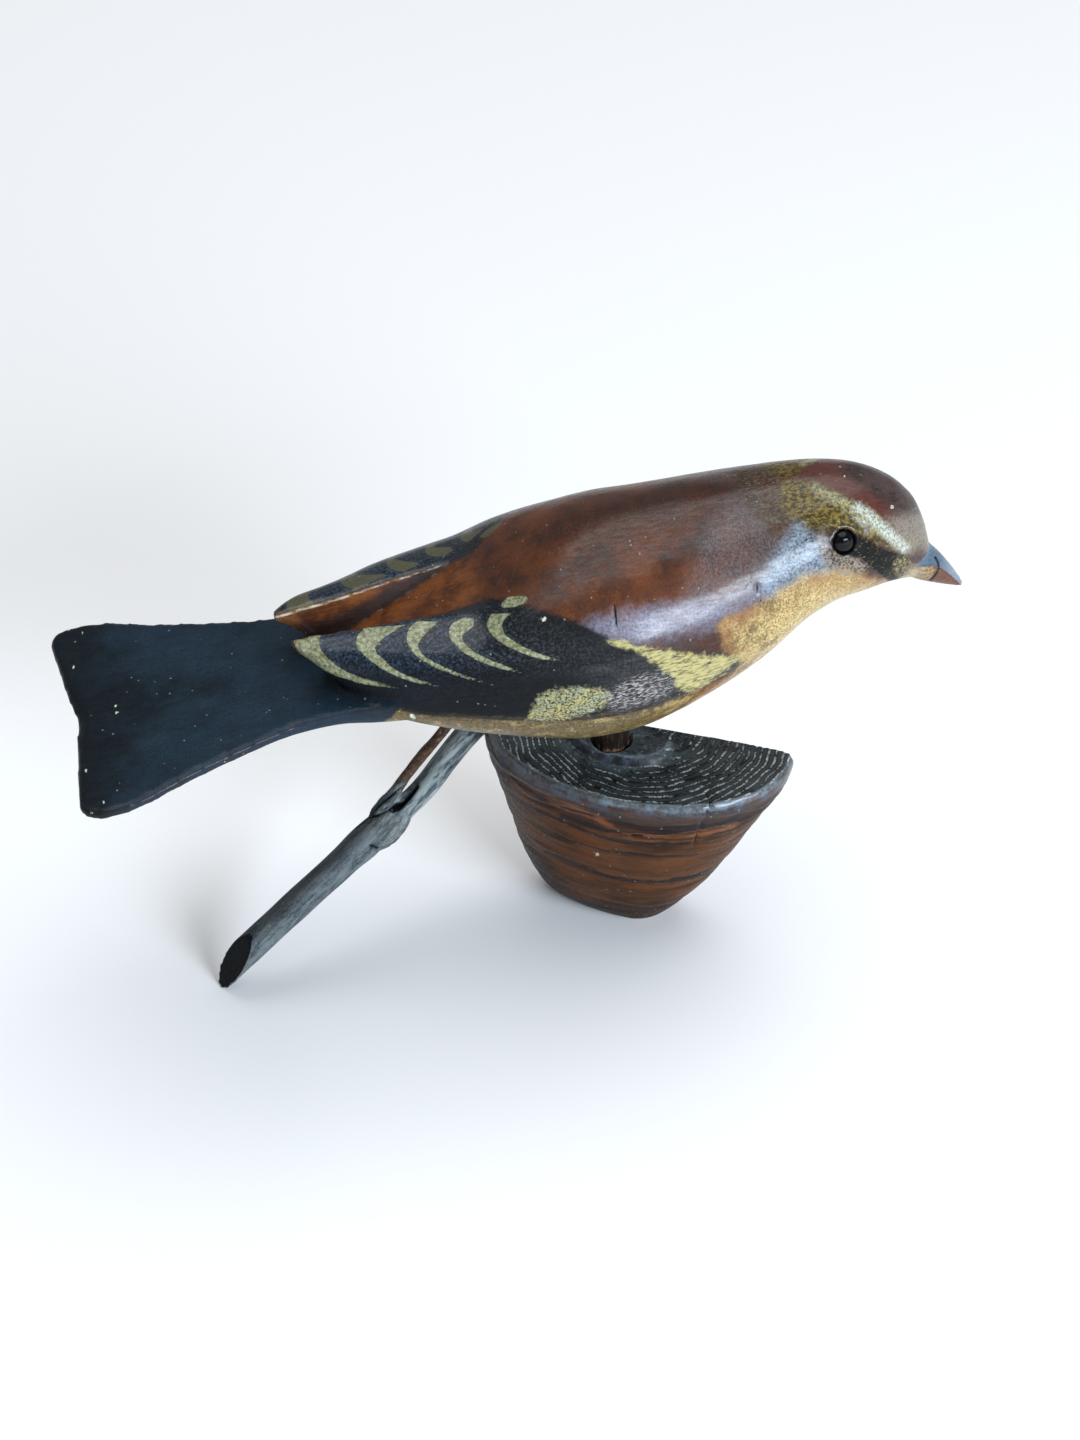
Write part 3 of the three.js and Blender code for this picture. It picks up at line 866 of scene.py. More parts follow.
birdLines = {
    "paleStreak": ([(858, 508), (867, 514), (877, 523), (888, 533), (896, 541), (904, 548)], 4.6),
    "lids": ([(826, 543), (830, 536.5), (841, 531.5), (853, 532), (862, 536.5)], 1.3),
}
chips = {  # bare spots: place in the picture and radius in pixels
    "bird": [
        (892, 507, 1.7), (844, 476, 1.1), (857, 499, 0.8), (544, 619, 2.4), (541, 622, 1.3),
        (412, 716, 2.2), (415, 718, 1.2), (538, 618, 0.9), (476, 590, 0.8), (560, 587, 0.7),
        (98, 648, 2.0), (117, 713, 1.6), (104, 802, 1.6), (91, 813, 1.5), (86, 771, 1.6),
        (131, 812, 1.2), (114.5, 662, 0.7), (218, 738, 1.0),
    ],
    "ring": [(810, 540)],
}


def tipOutline(outer, inner):
    return np.concatenate([flowing(outer, 5), flowing(inner[::-1], 5)])


# Places of the paint: along the bird in millimetres, then pixels of the photograph
birdPaint = {
    "tailStart": -40.3,
    "betweenFront": -26.5,
    "betweenTop": 2.6,  # over the hollow's rim
    "grooveFront": -25.5,
    "grooveWidth": 0.7,
    "edgeWidth": 0.2,  # of the pale line on the wing's edge: worn wood with a painted highlight
    "socketRing": 2.4,
    "warmReach": 13,
    "wingMiddleAndTip": (520, 320),
    "bellyAndThroat": (640, 880),
    "warmLine": [(425, 603), (520, 588), (610, 585), (700, 572)],
    "tailNearEdge": [(120, 790), (190, 765), (270, 725), (340, 705)],
}


# Signed distances to the marks in millimetres at every point, kept as layers for the paint
def layBirdPaint(body):
    p = birdPaint
    mesh = body.data
    points, normals = readPoints(mesh), readNormals(mesh)
    x, y, z = points.T
    side = np.abs(y)
    spots = toPicture(mirrored(points))
    toEye = np.array(photoCamera["place"]) - mirrored(points)
    toEye /= np.linalg.norm(toEye, axis=1)[:, None]
    outward = normals * (1, 0, 1) + normals * (0, 1, 0) * -np.sign(y)[:, None]
    facing = (outward * toEye).sum(1)
    headLimit = -0.3 * smoothStep(24, 34, x) * smoothStep(66, 70, z)
    seen = 8 * (facing - 0.02 - headLimit)  # millimetres either side of where the painter's view ends

    def mark(name, outline, smooth=True):
        line = flowing(outline, 4, True) if smooth else outline
        writeLayer(mesh, name, np.minimum(outlineDistance(spots, line) / pixelsPerMm, seen))

    for name, outline in birdMarks.items():
        if name in ("oliveStroke", "lowerLine", "gold"):
            continue
        mark(name, outline)
    gold = outlineDistance(spots, flowing(birdMarks["gold"], 3, True)) / pixelsPerMm
    writeLayer(mesh, "gold", np.where(z > 76, np.minimum(gold, seen), np.maximum(gold, -seen)))
    feathers = [outlineDistance(spots, tipOutline(*pair)) for pair in crescents]
    feathers.append(outlineDistance(spots, flowing(birdMarks["creamSpot"], 4, True)))
    feathers.append(2.2 - lineDistance(spots, flowing(birdMarks["oliveStroke"])))
    writeLayer(mesh, "crescents", np.minimum(np.max(feathers, 0) / pixelsPerMm, seen))
    writeLayer(mesh, "lowerLine", 0.22 - lineDistance(spots, flowing(birdMarks["lowerLine"])) / pixelsPerMm)
    for name, (line, halfWidth) in birdLines.items():
        away = halfWidth - lineDistance(spots, flowing(line))
        writeLayer(mesh, name, np.minimum(away / pixelsPerMm, seen))
    flakes = [r - np.hypot(spots[:, 0] - px, spots[:, 1] - py) for px, py, r in chips["bird"]]
    onRight = np.where(y < 2, 1, -1) * np.where(seen > 0, 1, -1)
    away = np.max(flakes, 0) / pixelsPerMm
    writeLayer(mesh, "chips", np.where((onRight > 0) | (x < -50), away, -1))
    cracks = [lineDistance(spots, flowing(line)) for line in darkCracks.values()]
    rings = [np.abs(np.hypot(spots[:, 0] - px, (spots[:, 1] - py) * 1.6) - 4) for px, py in chips["ring"]]
    writeLayer(mesh, "cracks", np.where(onRight > 0, 0.16 - np.min(cracks + rings, 0) / pixelsPerMm, -1))

    # places on the carving itself
    aboveTail = z - tailTop(x) - 0.8
    belowTop = np.clip(tailTop(x) - z, 0, 8)
    writeLayer(mesh, "tailPart", np.minimum(-aboveTail, p["tailStart"] - x - 0.7 * belowTop))
    rim = bird["back"](x) - hollow["edgeDepth"]
    behind = 0.04 * (p["betweenFront"] - x)  # fades out slowly toward the back
    below = np.minimum(aboveTail, rim + p["betweenTop"] - z)
    writeLayer(mesh, "between", np.minimum(np.minimum(hollow["edge"](x) - side, behind), below))
    foot = np.abs(side - hollow["foot"](x) - 0.35)
    inGroove = np.minimum(p["grooveWidth"] - foot, p["grooveFront"] - x)
    writeLayer(mesh, "groove", np.minimum(inGroove, aboveTail))
    # the pale edge line is wider on the left wing, where the edge catches the light: a painted highlight
    # over wear
    edgeAway = np.hypot(side - hollow["edge"](x) - 0.1, z - rim + 0.2)
    edgeAway += 2 * smoothStep(-30, -26, x) + np.where(y > 0, 0, 0.25)
    writeLayer(mesh, "wingEdge", p["edgeWidth"] - edgeAway)
    root, tip, axis, upward = beakAxes()
    share = (points - root) @ axis / np.linalg.norm(tip - root)
    start = 0.09 * smoothStep(0, 2.5, (points - root) @ upward) - 0.05
    writeLayer(mesh, "beakPart", (share - start) * np.linalg.norm(tip - root))
    gapeLine = flowing([(880, 568), *birdCarving["gape"], (975, 598)])
    gapeHeight = np.interp(spots[:, 0], gapeLine[:, 0], gapeLine[:, 1])
    writeLayer(mesh, "upperBeak", (gapeHeight - spots[:, 1]) / pixelsPerMm)
    writeLayer(mesh, "beakAlong", share)
    reach = np.minimum(*[np.linalg.norm(points - eyePlace(k), axis=1) for k in (1, -1)])
    writeLayer(mesh, "socket", p["socketRing"] - reach)
    bend = surfaceBend(mesh, points, normals)
    writeLayer(mesh, "ridges", np.clip(bend / 0.02, -4, 4))
    pixelX, pixelY = spots.T
    middle, tip = p["wingMiddleAndTip"]
    writeLayer(mesh, "towardTip", np.clip((middle - pixelX) / (middle - tip), -1, 1.2))
    belly, throat = p["bellyAndThroat"]
    writeLayer(mesh, "towardThroat", np.clip((pixelX - belly) / (throat - belly), 0, 1))
    # nearness to a line low on the side of the back, where the painted light on the mantle is strongest
    glow = lineDistance(spots, flowing(p["warmLine"])) / pixelsPerMm
    writeLayer(mesh, "mantleGlow", 1 - np.clip(glow / p["warmReach"], 0, 1))
    writeLayer(mesh, "leftSide", smoothStep(-0.5, 0.5, y))
    fromEdge = lineDistance(spots, flowing(p["tailNearEdge"])) / pixelsPerMm
    nearEdge = 0.8 * smoothStep(18, 3, fromEdge) * smoothStep(60, 180, pixelX)
    writeLayer(mesh, "tailLight", nearEdge + 0.2 * smoothStep(700, 640, pixelY))
    writeLayer(mesh, "lowWing", smoothStep(650, 690, pixelY) * smoothStep(640, 560, pixelX))


layBirdPaint(chaffinch)
print("paint marks laid out")


# Shader helpers
def put(tree, kind, inputs=(), **settings):
    node = tree.nodes.new(kind)
    for key, value in settings.items():
        setattr(node, key, value)
    for key, value in dict(inputs).items():
        socket = node.inputs[key]
        if isinstance(value, bpy.types.NodeSocket):
            tree.links.new(value, socket)
        else:
            socket.default_value = value
    return node


def sums(tree, operation, a, b=0.0, c=0.0):
    return put(tree, "ShaderNodeMath", {0: a, 1: b, 2: c}, operation=operation).outputs[0]


def times(tree, a, b):
    return sums(tree, "MULTIPLY", a, b)


def ramp(tree, value, low, high, start=0.0, end=1.0, kind="SMOOTHSTEP"):
    return put(
        tree, "ShaderNodeMapRange", {0: value, 1: low, 2: high, 3: start, 4: end}, interpolation_type=kind
    ).outputs[0]


def layColour(tree, mask, under, over):
    colours = {k: (*v, 1) if isinstance(v, tuple) else v for k, v in ((6, under), (7, over))}
    return put(tree, "ShaderNodeMix", {0: mask, **colours}, data_type="RGBA").outputs[2]


def layer(tree, name):
    return put(tree, "ShaderNodeAttribute", attribute_name=name).outputs["Fac"]


# The place on the piece, in millimetres, stretched where lines run along one direction
def place(tree, stretch=(1, 1, 1)):
    here = put(tree, "ShaderNodeTexCoord").outputs["Object"]
    size = tuple(1 / mm / s for s in stretch)
    return put(tree, "ShaderNodeVectorMath", {0: here, 1: size}, operation="MULTIPLY").outputs[0]


def grainAt(tree, spot, scale, detail, rough, bend=0.0):
    return put(
        tree, "ShaderNodeTexNoise",
        {"Vector": spot, "Scale": scale, "Detail": detail, "Roughness": rough, "Distortion": bend},
    ).outputs["Fac"]


# Noise with bumps of the given size in millimetres
def cloud(tree, spot, size, detail=3.0, rough=0.55, bend=0.0):
    return grainAt(tree, spot, 1 / size, detail, rough, bend)


def newGroup(name, inputs, outputs):
    tree = bpy.data.node_groups.new(name, "ShaderNodeTree")
    for kind, sockets in (("INPUT", inputs), ("OUTPUT", outputs)):
        for label, what in sockets:
            tree.interface.new_socket(label, in_out=kind, socket_type="NodeSocket" + what)
    return tree, put(tree, "NodeGroupInput").outputs, put(tree, "NodeGroupOutput").inputs


# Where a painted mark ends: its outline wobbles and breaks up as a dry brush leaves it
def makePaintEdge():
    tree, given, made = newGroup(
        "paint edge",
        [("Place", "Vector"), *((label, "Float") for label in ("Distance", "Wobble", "Size", "Softness"))],
        [("Mask", "Float")],
    )
    scale = sums(tree, "DIVIDE", 1.0, given["Size"])
    rough = grainAt(tree, given["Place"], scale, 3.0, 0.65)
    shift = times(tree, sums(tree, "SUBTRACT", rough, 0.5), given["Wobble"])
    distance = sums(tree, "ADD", given["Distance"], shift)
    low = times(tree, given["Softness"], -1.0)
    tree.links.new(ramp(tree, distance, low, given["Softness"]), made["Mask"])
    return tree


# Fine pale glints and specks strewn over a surface
def makeSpecks():
    tree, given, made = newGroup(
        "specks",
        [("Place", "Vector"), ("Size", "Float"), ("Share", "Float")],
        [("Mask", "Float")],
    )
    scale = sums(tree, "DIVIDE", 1.0, given["Size"])
    cells = put(tree, "ShaderNodeTexVoronoi", {"Vector": given["Place"], "Scale": scale})
    pick = put(tree, "ShaderNodeSeparateColor", {0: cells.outputs["Color"]}).outputs[0]
    keep = sums(tree, "GREATER_THAN", given["Share"], pick)
    spot = ramp(tree, cells.outputs["Distance"], 0.42, 0.2)
    tree.links.new(times(tree, keep, spot), made["Mask"])
    return tree


# Brush and varnish texture: long faint strokes with finer grain, as a height and as a tone
def makeBrushwork():
    tree, given, made = newGroup(
        "brushwork",
        [("Place", "Vector"), ("Size", "Float")],
        [("Height", "Float"), ("Tone", "Float")],
    )
    scale = sums(tree, "DIVIDE", 1.0, given["Size"])
    squeezed = {0: given["Place"], 1: (0.22, 1, 1)}
    long = put(tree, "ShaderNodeVectorMath", squeezed, operation="MULTIPLY").outputs[0]
    strokes = grainAt(tree, long, scale, 4.0, 0.6, 0.6)
    grain = grainAt(tree, given["Place"], times(tree, scale, 2.6), 3.0, 0.7)
    broad = grainAt(tree, given["Place"], times(tree, scale, 0.12), 4.0, 0.6)
    height = sums(tree, "ADD", times(tree, strokes, 0.6), times(tree, grain, 0.4))
    tone = sums(tree, "ADD", times(tree, strokes, 0.35), times(tree, broad, 0.65))
    tree.links.new(height, made["Height"])
    tree.links.new(tone, made["Tone"])
    return tree


# Wear on ridges and darkening in creases, from how the surface bends
def makeWear():
    tree, given, made = newGroup(
        "wear and crease darkening",
        [("Bend", "Float"), ("Place", "Vector"), ("Amount", "Float")],
        [("Worn", "Float"), ("CreaseDark", "Float")],
    )
    rough = grainAt(tree, given["Place"], 1.4, 4.0, 0.7)
    shift = times(tree, sums(tree, "SUBTRACT", rough, 0.5), 2.4)
    up = sums(tree, "ADD", given["Bend"], shift)
    worn = times(tree, ramp(tree, up, 0.8, 2.2), given["Amount"])
    down = sums(tree, "SUBTRACT", shift, given["Bend"])
    tree.links.new(worn, made["Worn"])
    tree.links.new(ramp(tree, down, 0.5, 2.2), made["CreaseDark"])
    return tree


paintEdge, specks, brushwork, wear = makePaintEdge(), makeSpecks(), makeBrushwork(), makeWear()


def use(tree, group, **inputs):
    node = tree.nodes.new("ShaderNodeGroup")
    node.node_tree = group
    for key, value in inputs.items():
        socket = node.inputs[key]
        if isinstance(value, bpy.types.NodeSocket):
            tree.links.new(value, socket)
        else:
            socket.default_value = value
    return node.outputs


def edgeMask(tree, distance, spot, wobble, size, soft):
    given = {"Distance": distance, "Place": spot, "Wobble": wobble, "Size": size, "Softness": soft}
    return use(tree, paintEdge, **given)["Mask"]


def newFinish(name, **constants):
    material = bpy.data.materials.new(name)
    material.use_nodes = True
    shader = material.node_tree.nodes["Principled BSDF"]
    for key, value in constants.items():
        shader.inputs[key.replace("_", " ")].default_value = value
    return material, material.node_tree, shader


def bumpFrom(tree, height, depth, strength=1.0):
    given = {"Height": height, "Distance": depth * mm, "Strength": strength}
    return put(tree, "ShaderNodeBump", given).outputs[0]


birdColours = {
    "mantle": (0.078, 0.023, 0.011),
    "mantleDark": (0.022, 0.011, 0.009),
    "mantleOrange": (0.15, 0.044, 0.012),
    "between": (0.075, 0.022, 0.008),
    "betweenOrange": (0.21, 0.066, 0.016),
    "groove": (0.022, 0.021, 0.023),
    "wingBlack": (0.004, 0.005, 0.006),
    "wingBlue": (0.028, 0.052, 0.095),
    "wingGrey": (0.036, 0.039, 0.043),
    "wingSheen": (0.080, 0.115, 0.155),
    "cream": (0.36, 0.38, 0.24),
    "creamDark": (0.13, 0.135, 0.060),
    "creamWorn": (0.085, 0.078, 0.040),
    "barYellow": (0.50, 0.44, 0.18),
    "gold": (0.21, 0.145, 0.048),
    "goldMid": (0.24, 0.15, 0.045),
    "goldLight": (0.66, 0.50, 0.22),
    "goldDark": (0.050, 0.034, 0.009),
    "goldOrange": (0.25, 0.10, 0.03),
    "nape": (0.15, 0.13, 0.075),
    "neckGrey": (0.17, 0.155, 0.16),
    "edge": (0.62, 0.54, 0.44),
    "silverSheen": (0.46, 0.42, 0.40),
    "crown": (0.060, 0.037, 0.033),
    "crownGrey": (0.12, 0.105, 0.10),
    "crownRed": (0.115, 0.028, 0.017),
    "brow": (0.24, 0.17, 0.034),
    "browLight": (0.42, 0.42, 0.24),
    "browDark": (0.030, 0.020, 0.007),
    "pale": (0.56, 0.61, 0.55),
    "forehead": (0.25, 0.21, 0.16),
    "black": (0.005, 0.005, 0.005),
    "lavenderSheen": (0.33, 0.35, 0.46),
    "cheekSheenBlue": (0.27, 0.37, 0.46),
    "tail": (0.002, 0.006, 0.010),
    "tailSheenBlue": (0.012, 0.030, 0.050),
    "tailScuff": (0.040, 0.060, 0.070),
    "wornWood": (0.17, 0.09, 0.04),
    "beakBlue": (0.045, 0.085, 0.135),
    "beakPale": (0.20, 0.235, 0.28),
    "beakRed": (0.12, 0.040, 0.018),
    "beakCream": (0.42, 0.33, 0.17),
    "chip": (0.65, 0.66, 0.52),
    "crack": (0.006, 0.005, 0.004),
}


def paintedWood():
    c = birdColours
    material, tree, shader = newFinish(
        "painted wood", Coat_Roughness=0.2, Coat_IOR=1.5, Specular_IOR_Level=0.08
    )
    spot = place(tree)
    brush = use(tree, brushwork, Place=spot, Size=0.55)
    tone = brush["Tone"]
    fine = cloud(tree, spot, 0.42, 3.0, 0.7)
    blotch = cloud(tree, spot, 5.5, 4.0, 0.6)
    bend = use(tree, wear, Bend=layer(tree, "ridges"), Place=spot, Amount=1.0)

    def edge(name, wobble=0.5, size=0.6, soft=0.12, extra=0.0):
        distance = layer(tree, name)
        if extra:
            distance = sums(tree, "ADD", distance, extra)
        return edgeMask(tree, distance, spot, wobble, size, soft)

    def streaks(stretch, size, low, high):
        lines = cloud(tree, place(tree, stretch), size, 3.0, 0.65, 0.3)
        return ramp(tree, lines, low, high)

    # reddish brown back, mottled; orange-brown where the side of the back faces the light and darker toward
    # the top edge: partly paint, partly painted light and shade
    colour = layColour(tree, ramp(tree, tone, 0.36, 0.62), c["mantleDark"], c["mantle"])
    glow = layer(tree, "mantleGlow")
    warm = times(tree, ramp(tree, blotch, 0.34, 0.64), ramp(tree, glow, 0.0, 0.8, 0.08, 0.85))
    colour = layColour(tree, warm, colour, c["mantleOrange"])
    shadeAndDarkPaint = times(tree, ramp(tree, fine, 0.6, 0.38), ramp(tree, glow, 0.0, 0.9, 0.85, 0.3))
    colour = layColour(tree, shadeAndDarkPaint, colour, c["mantleDark"])
    scratches = ramp(tree, cloud(tree, place(tree, (0.5, 2.4, 1)), 0.32, 2.0, 0.7), 0.64, 0.72)
    colour = layColour(tree, times(tree, scratches, 0.3), colour, c["forehead"])
    # lavender sheen along the shoulder: a painted highlight of the window light
    silverSheen = times(tree, edge("shoulder", 3.0, 1.6, 1.8), ramp(tree, fine, 0.3, 0.66, 0.25, 0.62))
    colour = layColour(tree, silverSheen, colour, c["lavenderSheen"])

    hairs = cloud(tree, place(tree, (1, 1, 2.6)), 0.34, 4.0, 0.7, 0.4)
    neck = times(tree, edge("neckGrey", 3.4, 2.0, 2.0), ramp(tree, hairs, 0.4, 0.64, 0.15, 0.65))
    colour = layColour(tree, neck, colour, c["neckGrey"])

    # gold breast and belly, lighter toward the throat where it faces the light: partly paint, partly
    # painted light
    toward = layer(tree, "towardThroat")
    glitter = ramp(tree, cloud(tree, spot, 0.38, 4.0, 0.8), 0.38, 0.62)
    gold = layColour(tree, glitter, c["goldDark"], c["gold"])
    light = layColour(tree, glitter, c["goldMid"], c["goldLight"])
    patchy = sums(tree, "ADD", toward, ramp(tree, cloud(tree, spot, 2.6, 4.0, 0.65), 0.3, 0.7, -0.35, 0.35))
    gold = layColour(tree, ramp(tree, patchy, 0.0, 0.62), gold, light)
    orange = times(tree, ramp(tree, layer(tree, "gold"), 4.5, 0.2), ramp(tree, blotch, 0.34, 0.6, 0.2, 0.8))
    gold = layColour(tree, times(tree, orange, ramp(tree, toward, 0.0, 0.3)), gold, c["goldOrange"])
    colour = layColour(tree, edge("gold", 2.6, 1.3, 0.9), colour, gold)

    # blue-black wing with cream feather edges
    tip = layer(tree, "towardTip")
    inner = ramp(tree, layer(tree, "wingPanel"), 0.4, 3.4, 0.4, 1.0)
    blue = layColour(tree, ramp(tree, fine, 0.4, 0.66), c["wingBlack"], c["wingBlue"])
    grey = layColour(tree, ramp(tree, fine, 0.42, 0.7), c["wingBlack"], c["wingGrey"])
    wing = layColour(tree, ramp(tree, tip, -0.2, 0.8), grey, blue)
    wing = layColour(tree, inner, c["wingBlack"], wing)
    wing = layColour(tree, ramp(tree, layer(tree, "lowWing"), 0, 1, 0, 0.75), wing, c["wingBlack"])
    barbs = sums(tree, "SINE", times(tree, sums(tree, "ADD", layer(tree, "crescents"), fine), 7.5))
    barbs = times(tree, ramp(tree, barbs, 0.45, 0.95), ramp(tree, fine, 0.42, 0.62))
    barbs = times(tree, barbs, ramp(tree, layer(tree, "crescents"), -2.6, -1.4))
    barbs = times(tree, barbs, ramp(tree, layer(tree, "lowWing"), 0, 0.6, 1, 0))
    wing = layColour(tree, times(tree, barbs, ramp(tree, tip, -0.6, 0.6, 0.12, 0.5)), wing, c["wingSheen"])
    colour = layColour(tree, edge("wingPanel", 1.5, 1.0, 0.6), colour, wing)
    colour = layColour(tree, times(tree, edge("lowerLine", 0.1, 1.0, 0.08), 0.85), colour, c["black"])
    mottle = cloud(tree, spot, 0.6, 4.0, 0.75)
    cream = layColour(tree, ramp(tree, mottle, 0.38, 0.6), c["creamDark"], c["cream"])
    cream = layColour(tree, ramp(tree, mottle, 0.6, 0.72), cream, c["pale"])
    cream = layColour(tree, times(tree, layer(tree, "leftSide"), 0.9), cream, c["creamWorn"])
    faded = ramp(tree, layer(tree, "leftSide"), 0, 1, 1, 0.8)
    feathers = times(tree, edge("crescents", 0.42, 0.4, 0.12), faded)
    colour = layColour(tree, feathers, colour, cream)
    bars = times(tree, edge("upperBar", 2.4, 1.0, 0.5), streaks((4, 1.6, 1), 0.4, 0.26, 0.6))
    colour = layColour(tree, bars, colour, c["barYellow"])
    lower = times(tree, edge("lowerBar", 2.6, 0.9, 0.5), streaks((1.4, 1, 1.2), 0.26, 0.34, 0.62))
    lowerTone = layColour(tree, ramp(tree, tone, 0.4, 0.6), c["barYellow"], c["cream"])
    colour = layColour(tree, lower, colour, lowerTone)
    # silvery glints on the brush strokes below the bar: a painted highlight
    silverSheen = times(tree, edge("silverSheenStrokes", 2.6, 0.9, 0.8), streaks((3.4, 1, 1), 0.26, 0.44, 0.68))
    colour = layColour(tree, silverSheen, colour, c["silverSheen"])

    # head
    napeMask = times(tree, edge("nape", 3.4, 2.2, 1.6), streaks((1.6, 1, 2.6), 0.38, 0.42, 0.66))
    colour = layColour(tree, times(tree, napeMask, 0.6), colour, c["nape"])
    crown = layColour(tree, ramp(tree, tone, 0.38, 0.6), c["mantleDark"], c["crown"])
    crown = layColour(tree, ramp(tree, fine, 0.52, 0.7, 0.0, 0.5), crown, c["crownGrey"])
    colour = layColour(tree, edge("crown", 1.0, 1.2, 0.5), colour, crown)
    red = times(tree, edge("crownRed", 2.2, 1.0, 1.2), ramp(tree, fine, 0.3, 0.6, 0.25, 0.85))
    colour = layColour(tree, red, colour, c["crownRed"])
    flecks = ramp(tree, cloud(tree, place(tree, (1.6, 1, 2.2)), 0.46, 4.0, 0.7, 0.5), 0.4, 0.66)
    brow = layColour(tree, flecks, c["browDark"], c["brow"])
    colour = layColour(tree, edge("brow", 2.2, 0.7, 0.9), colour, brow)
    paleBrow = times(tree, edge("browPale", 1.6, 0.7, 0.7), ramp(tree, fine, 0.4, 0.62, 0.1, 0.75))
    colour = layColour(tree, paleBrow, colour, c["browLight"])
    fore = times(tree, edge("forehead", 2.4, 0.9, 1.4), ramp(tree, fine, 0.3, 0.6, 0.25, 0.85))
    colour = layColour(tree, fore, colour, c["forehead"])
    pale = times(tree, edge("paleStreak", 1.5, 0.5, 0.8), ramp(tree, fine, 0.36, 0.62, 0.2, 0.95))
    colour = layColour(tree, pale, colour, c["pale"])
    # pale blue on the cheek: a painted reflection of the window light
    cheekSheen = times(tree, edge("cheek", 2.6, 0.8, 1.4), ramp(tree, fine, 0.34, 0.62, 0.15, 0.8))
    colour = layColour(tree, cheekSheen, colour, c["cheekSheenBlue"])
    eyeSide = times(tree, edge("underEye", 1.6, 0.6, 0.6), ramp(tree, fine, 0.4, 0.58))
    colour = layColour(tree, eyeSide, colour, c["forehead"])
    colour = layColour(tree, edge("lores", 1.6, 0.45, 0.4), colour, c["black"])
    glint = ramp(tree, cloud(tree, place(tree, (2.2, 1, 1)), 0.34, 3.0, 0.7), 0.57, 0.66)
    colour = layColour(tree, times(tree, times(tree, glint, edge("lores")), 0.3), colour, c["beakCream"])
    colour = layColour(tree, times(tree, edge("lids", 0.4, 0.5, 0.15), 0.8), colour, c["browDark"])
    colour = layColour(tree, edge("socket", 0.3, 0.6, 0.2), colour, c["black"])

    # beak
    along = layer(tree, "beakAlong")
    upper = layColour(tree, ramp(tree, along, 0.25, 0.75), c["beakBlue"], c["beakPale"])
    upper = layColour(tree, ramp(tree, fine, 0.4, 0.7, 0.0, 0.4), upper, c["beakPale"])
    low = layColour(tree, ramp(tree, along, 0.18, 0.5), c["beakCream"], c["beakRed"])
    low = layColour(tree, ramp(tree, fine, 0.62, 0.42, 0.0, 0.85), low, c["beakRed"])
    bill = layColour(tree, edge("upperBeak", 0.35, 0.5, 0.12), low, upper)
    colour = layColour(tree, edge("beakPart", 0.8, 0.6, 0.25), colour, bill)
    gilt = ramp(tree, cloud(tree, place(tree, (3.6, 1, 1)), 0.3, 4.0, 0.75), 0.42, 0.62, 0.0, 0.8)
    colour = layColour(tree, times(tree, edge("gapeCream", 1.0, 0.5, 0.3), gilt), colour, c["beakCream"])

    # wood between the wings, its groove, and the pale line on the wing's edge: worn wood with a painted
    # highlight
    inside = layColour(tree, ramp(tree, tone, 0.4, 0.62), c["between"], c["betweenOrange"])
    colour = layColour(tree, edge("between", 0.3, 1.0, 0.15), colour, inside)
    # dark grey line in the crease at the hollow's foot: dirt and painted shade
    colour = layColour(tree, times(tree, edge("groove", 0.5, 0.8, 0.3), 0.8), colour, c["groove"])
    colour = layColour(tree, edge("wingEdge", 0.2, 0.8, 0.08), colour, c["edge"])

    # tail, blue-black, with a painted bluish sheen, lighter along the near edge and in patches
    patchy = ramp(tree, cloud(tree, spot, 6, 4.0, 0.7), 0.3, 0.7, -0.3, 0.3, "LINEAR")
    sheen = sums(tree, "ADD", layer(tree, "tailLight"), patchy)
    tailSheen = times(tree, ramp(tree, sheen, 0.0, 1.0), ramp(tree, fine, 0.3, 0.6, 0.5, 1.0))
    tailColour = layColour(tree, tailSheen, c["tail"], c["tailSheenBlue"])
    tailMask = edge("tailPart", 1.4, 0.9, 0.4)
    scuffs = ramp(tree, cloud(tree, place(tree, (0.4, 1.6, 1)), 0.5, 4.0, 0.75, 0.8), 0.62, 0.72, 0.0, 0.4)
    tailColour = layColour(tree, scuffs, tailColour, c["tailScuff"])
    colour = layColour(tree, tailMask, colour, tailColour)

    # wear, darkening in creases, chips and cracks
    colour = layColour(tree, times(tree, bend["CreaseDark"], 0.6), colour, c["black"])
    worn = times(tree, bend["Worn"], ramp(tree, layer(tree, "socket"), -2.4, -3.2, 0.0, 0.26))
    worn = times(tree, worn, ramp(tree, layer(tree, "tailPart"), -0.3, 0.3, 1.0, 0.22))
    colour = layColour(tree, worn, colour, c["wornWood"])
    dots = use(tree, specks, Place=spot, Size=0.5, Share=0.012)["Mask"]
    colour = layColour(tree, times(tree, dots, 0.3), colour, c["chip"])
    colour = layColour(tree, edge("chips", 0.6, 0.35, 0.06), colour, c["chip"])
    colour = layColour(tree, edge("cracks", 0.14, 0.5, 0.05), colour, c["crack"])

    link = tree.links.new
    link(colour, shader.inputs["Base Color"])
    link(ramp(tree, fine, 0.3, 0.7, 0.36, 0.6), shader.inputs["Roughness"])
    matt = sums(tree, "MAXIMUM", edge("lores"), times(tree, edge("wingPanel"), layer(tree, "lowWing")))
    matt = sums(tree, "MAXIMUM", matt, times(tree, tailMask, 0.6))
    matt = sums(tree, "MAXIMUM", matt, edge("socket"))
    gloss = times(tree, ramp(tree, brush["Height"], 0.35, 0.6, 0.8, 0.3), ramp(tree, matt, 0, 1, 1, 0.15))
    link(gloss, shader.inputs["Coat Weight"])
    link(bumpFrom(tree, brush["Height"], 0.36, 0.9), shader.inputs["Normal"])
    return material


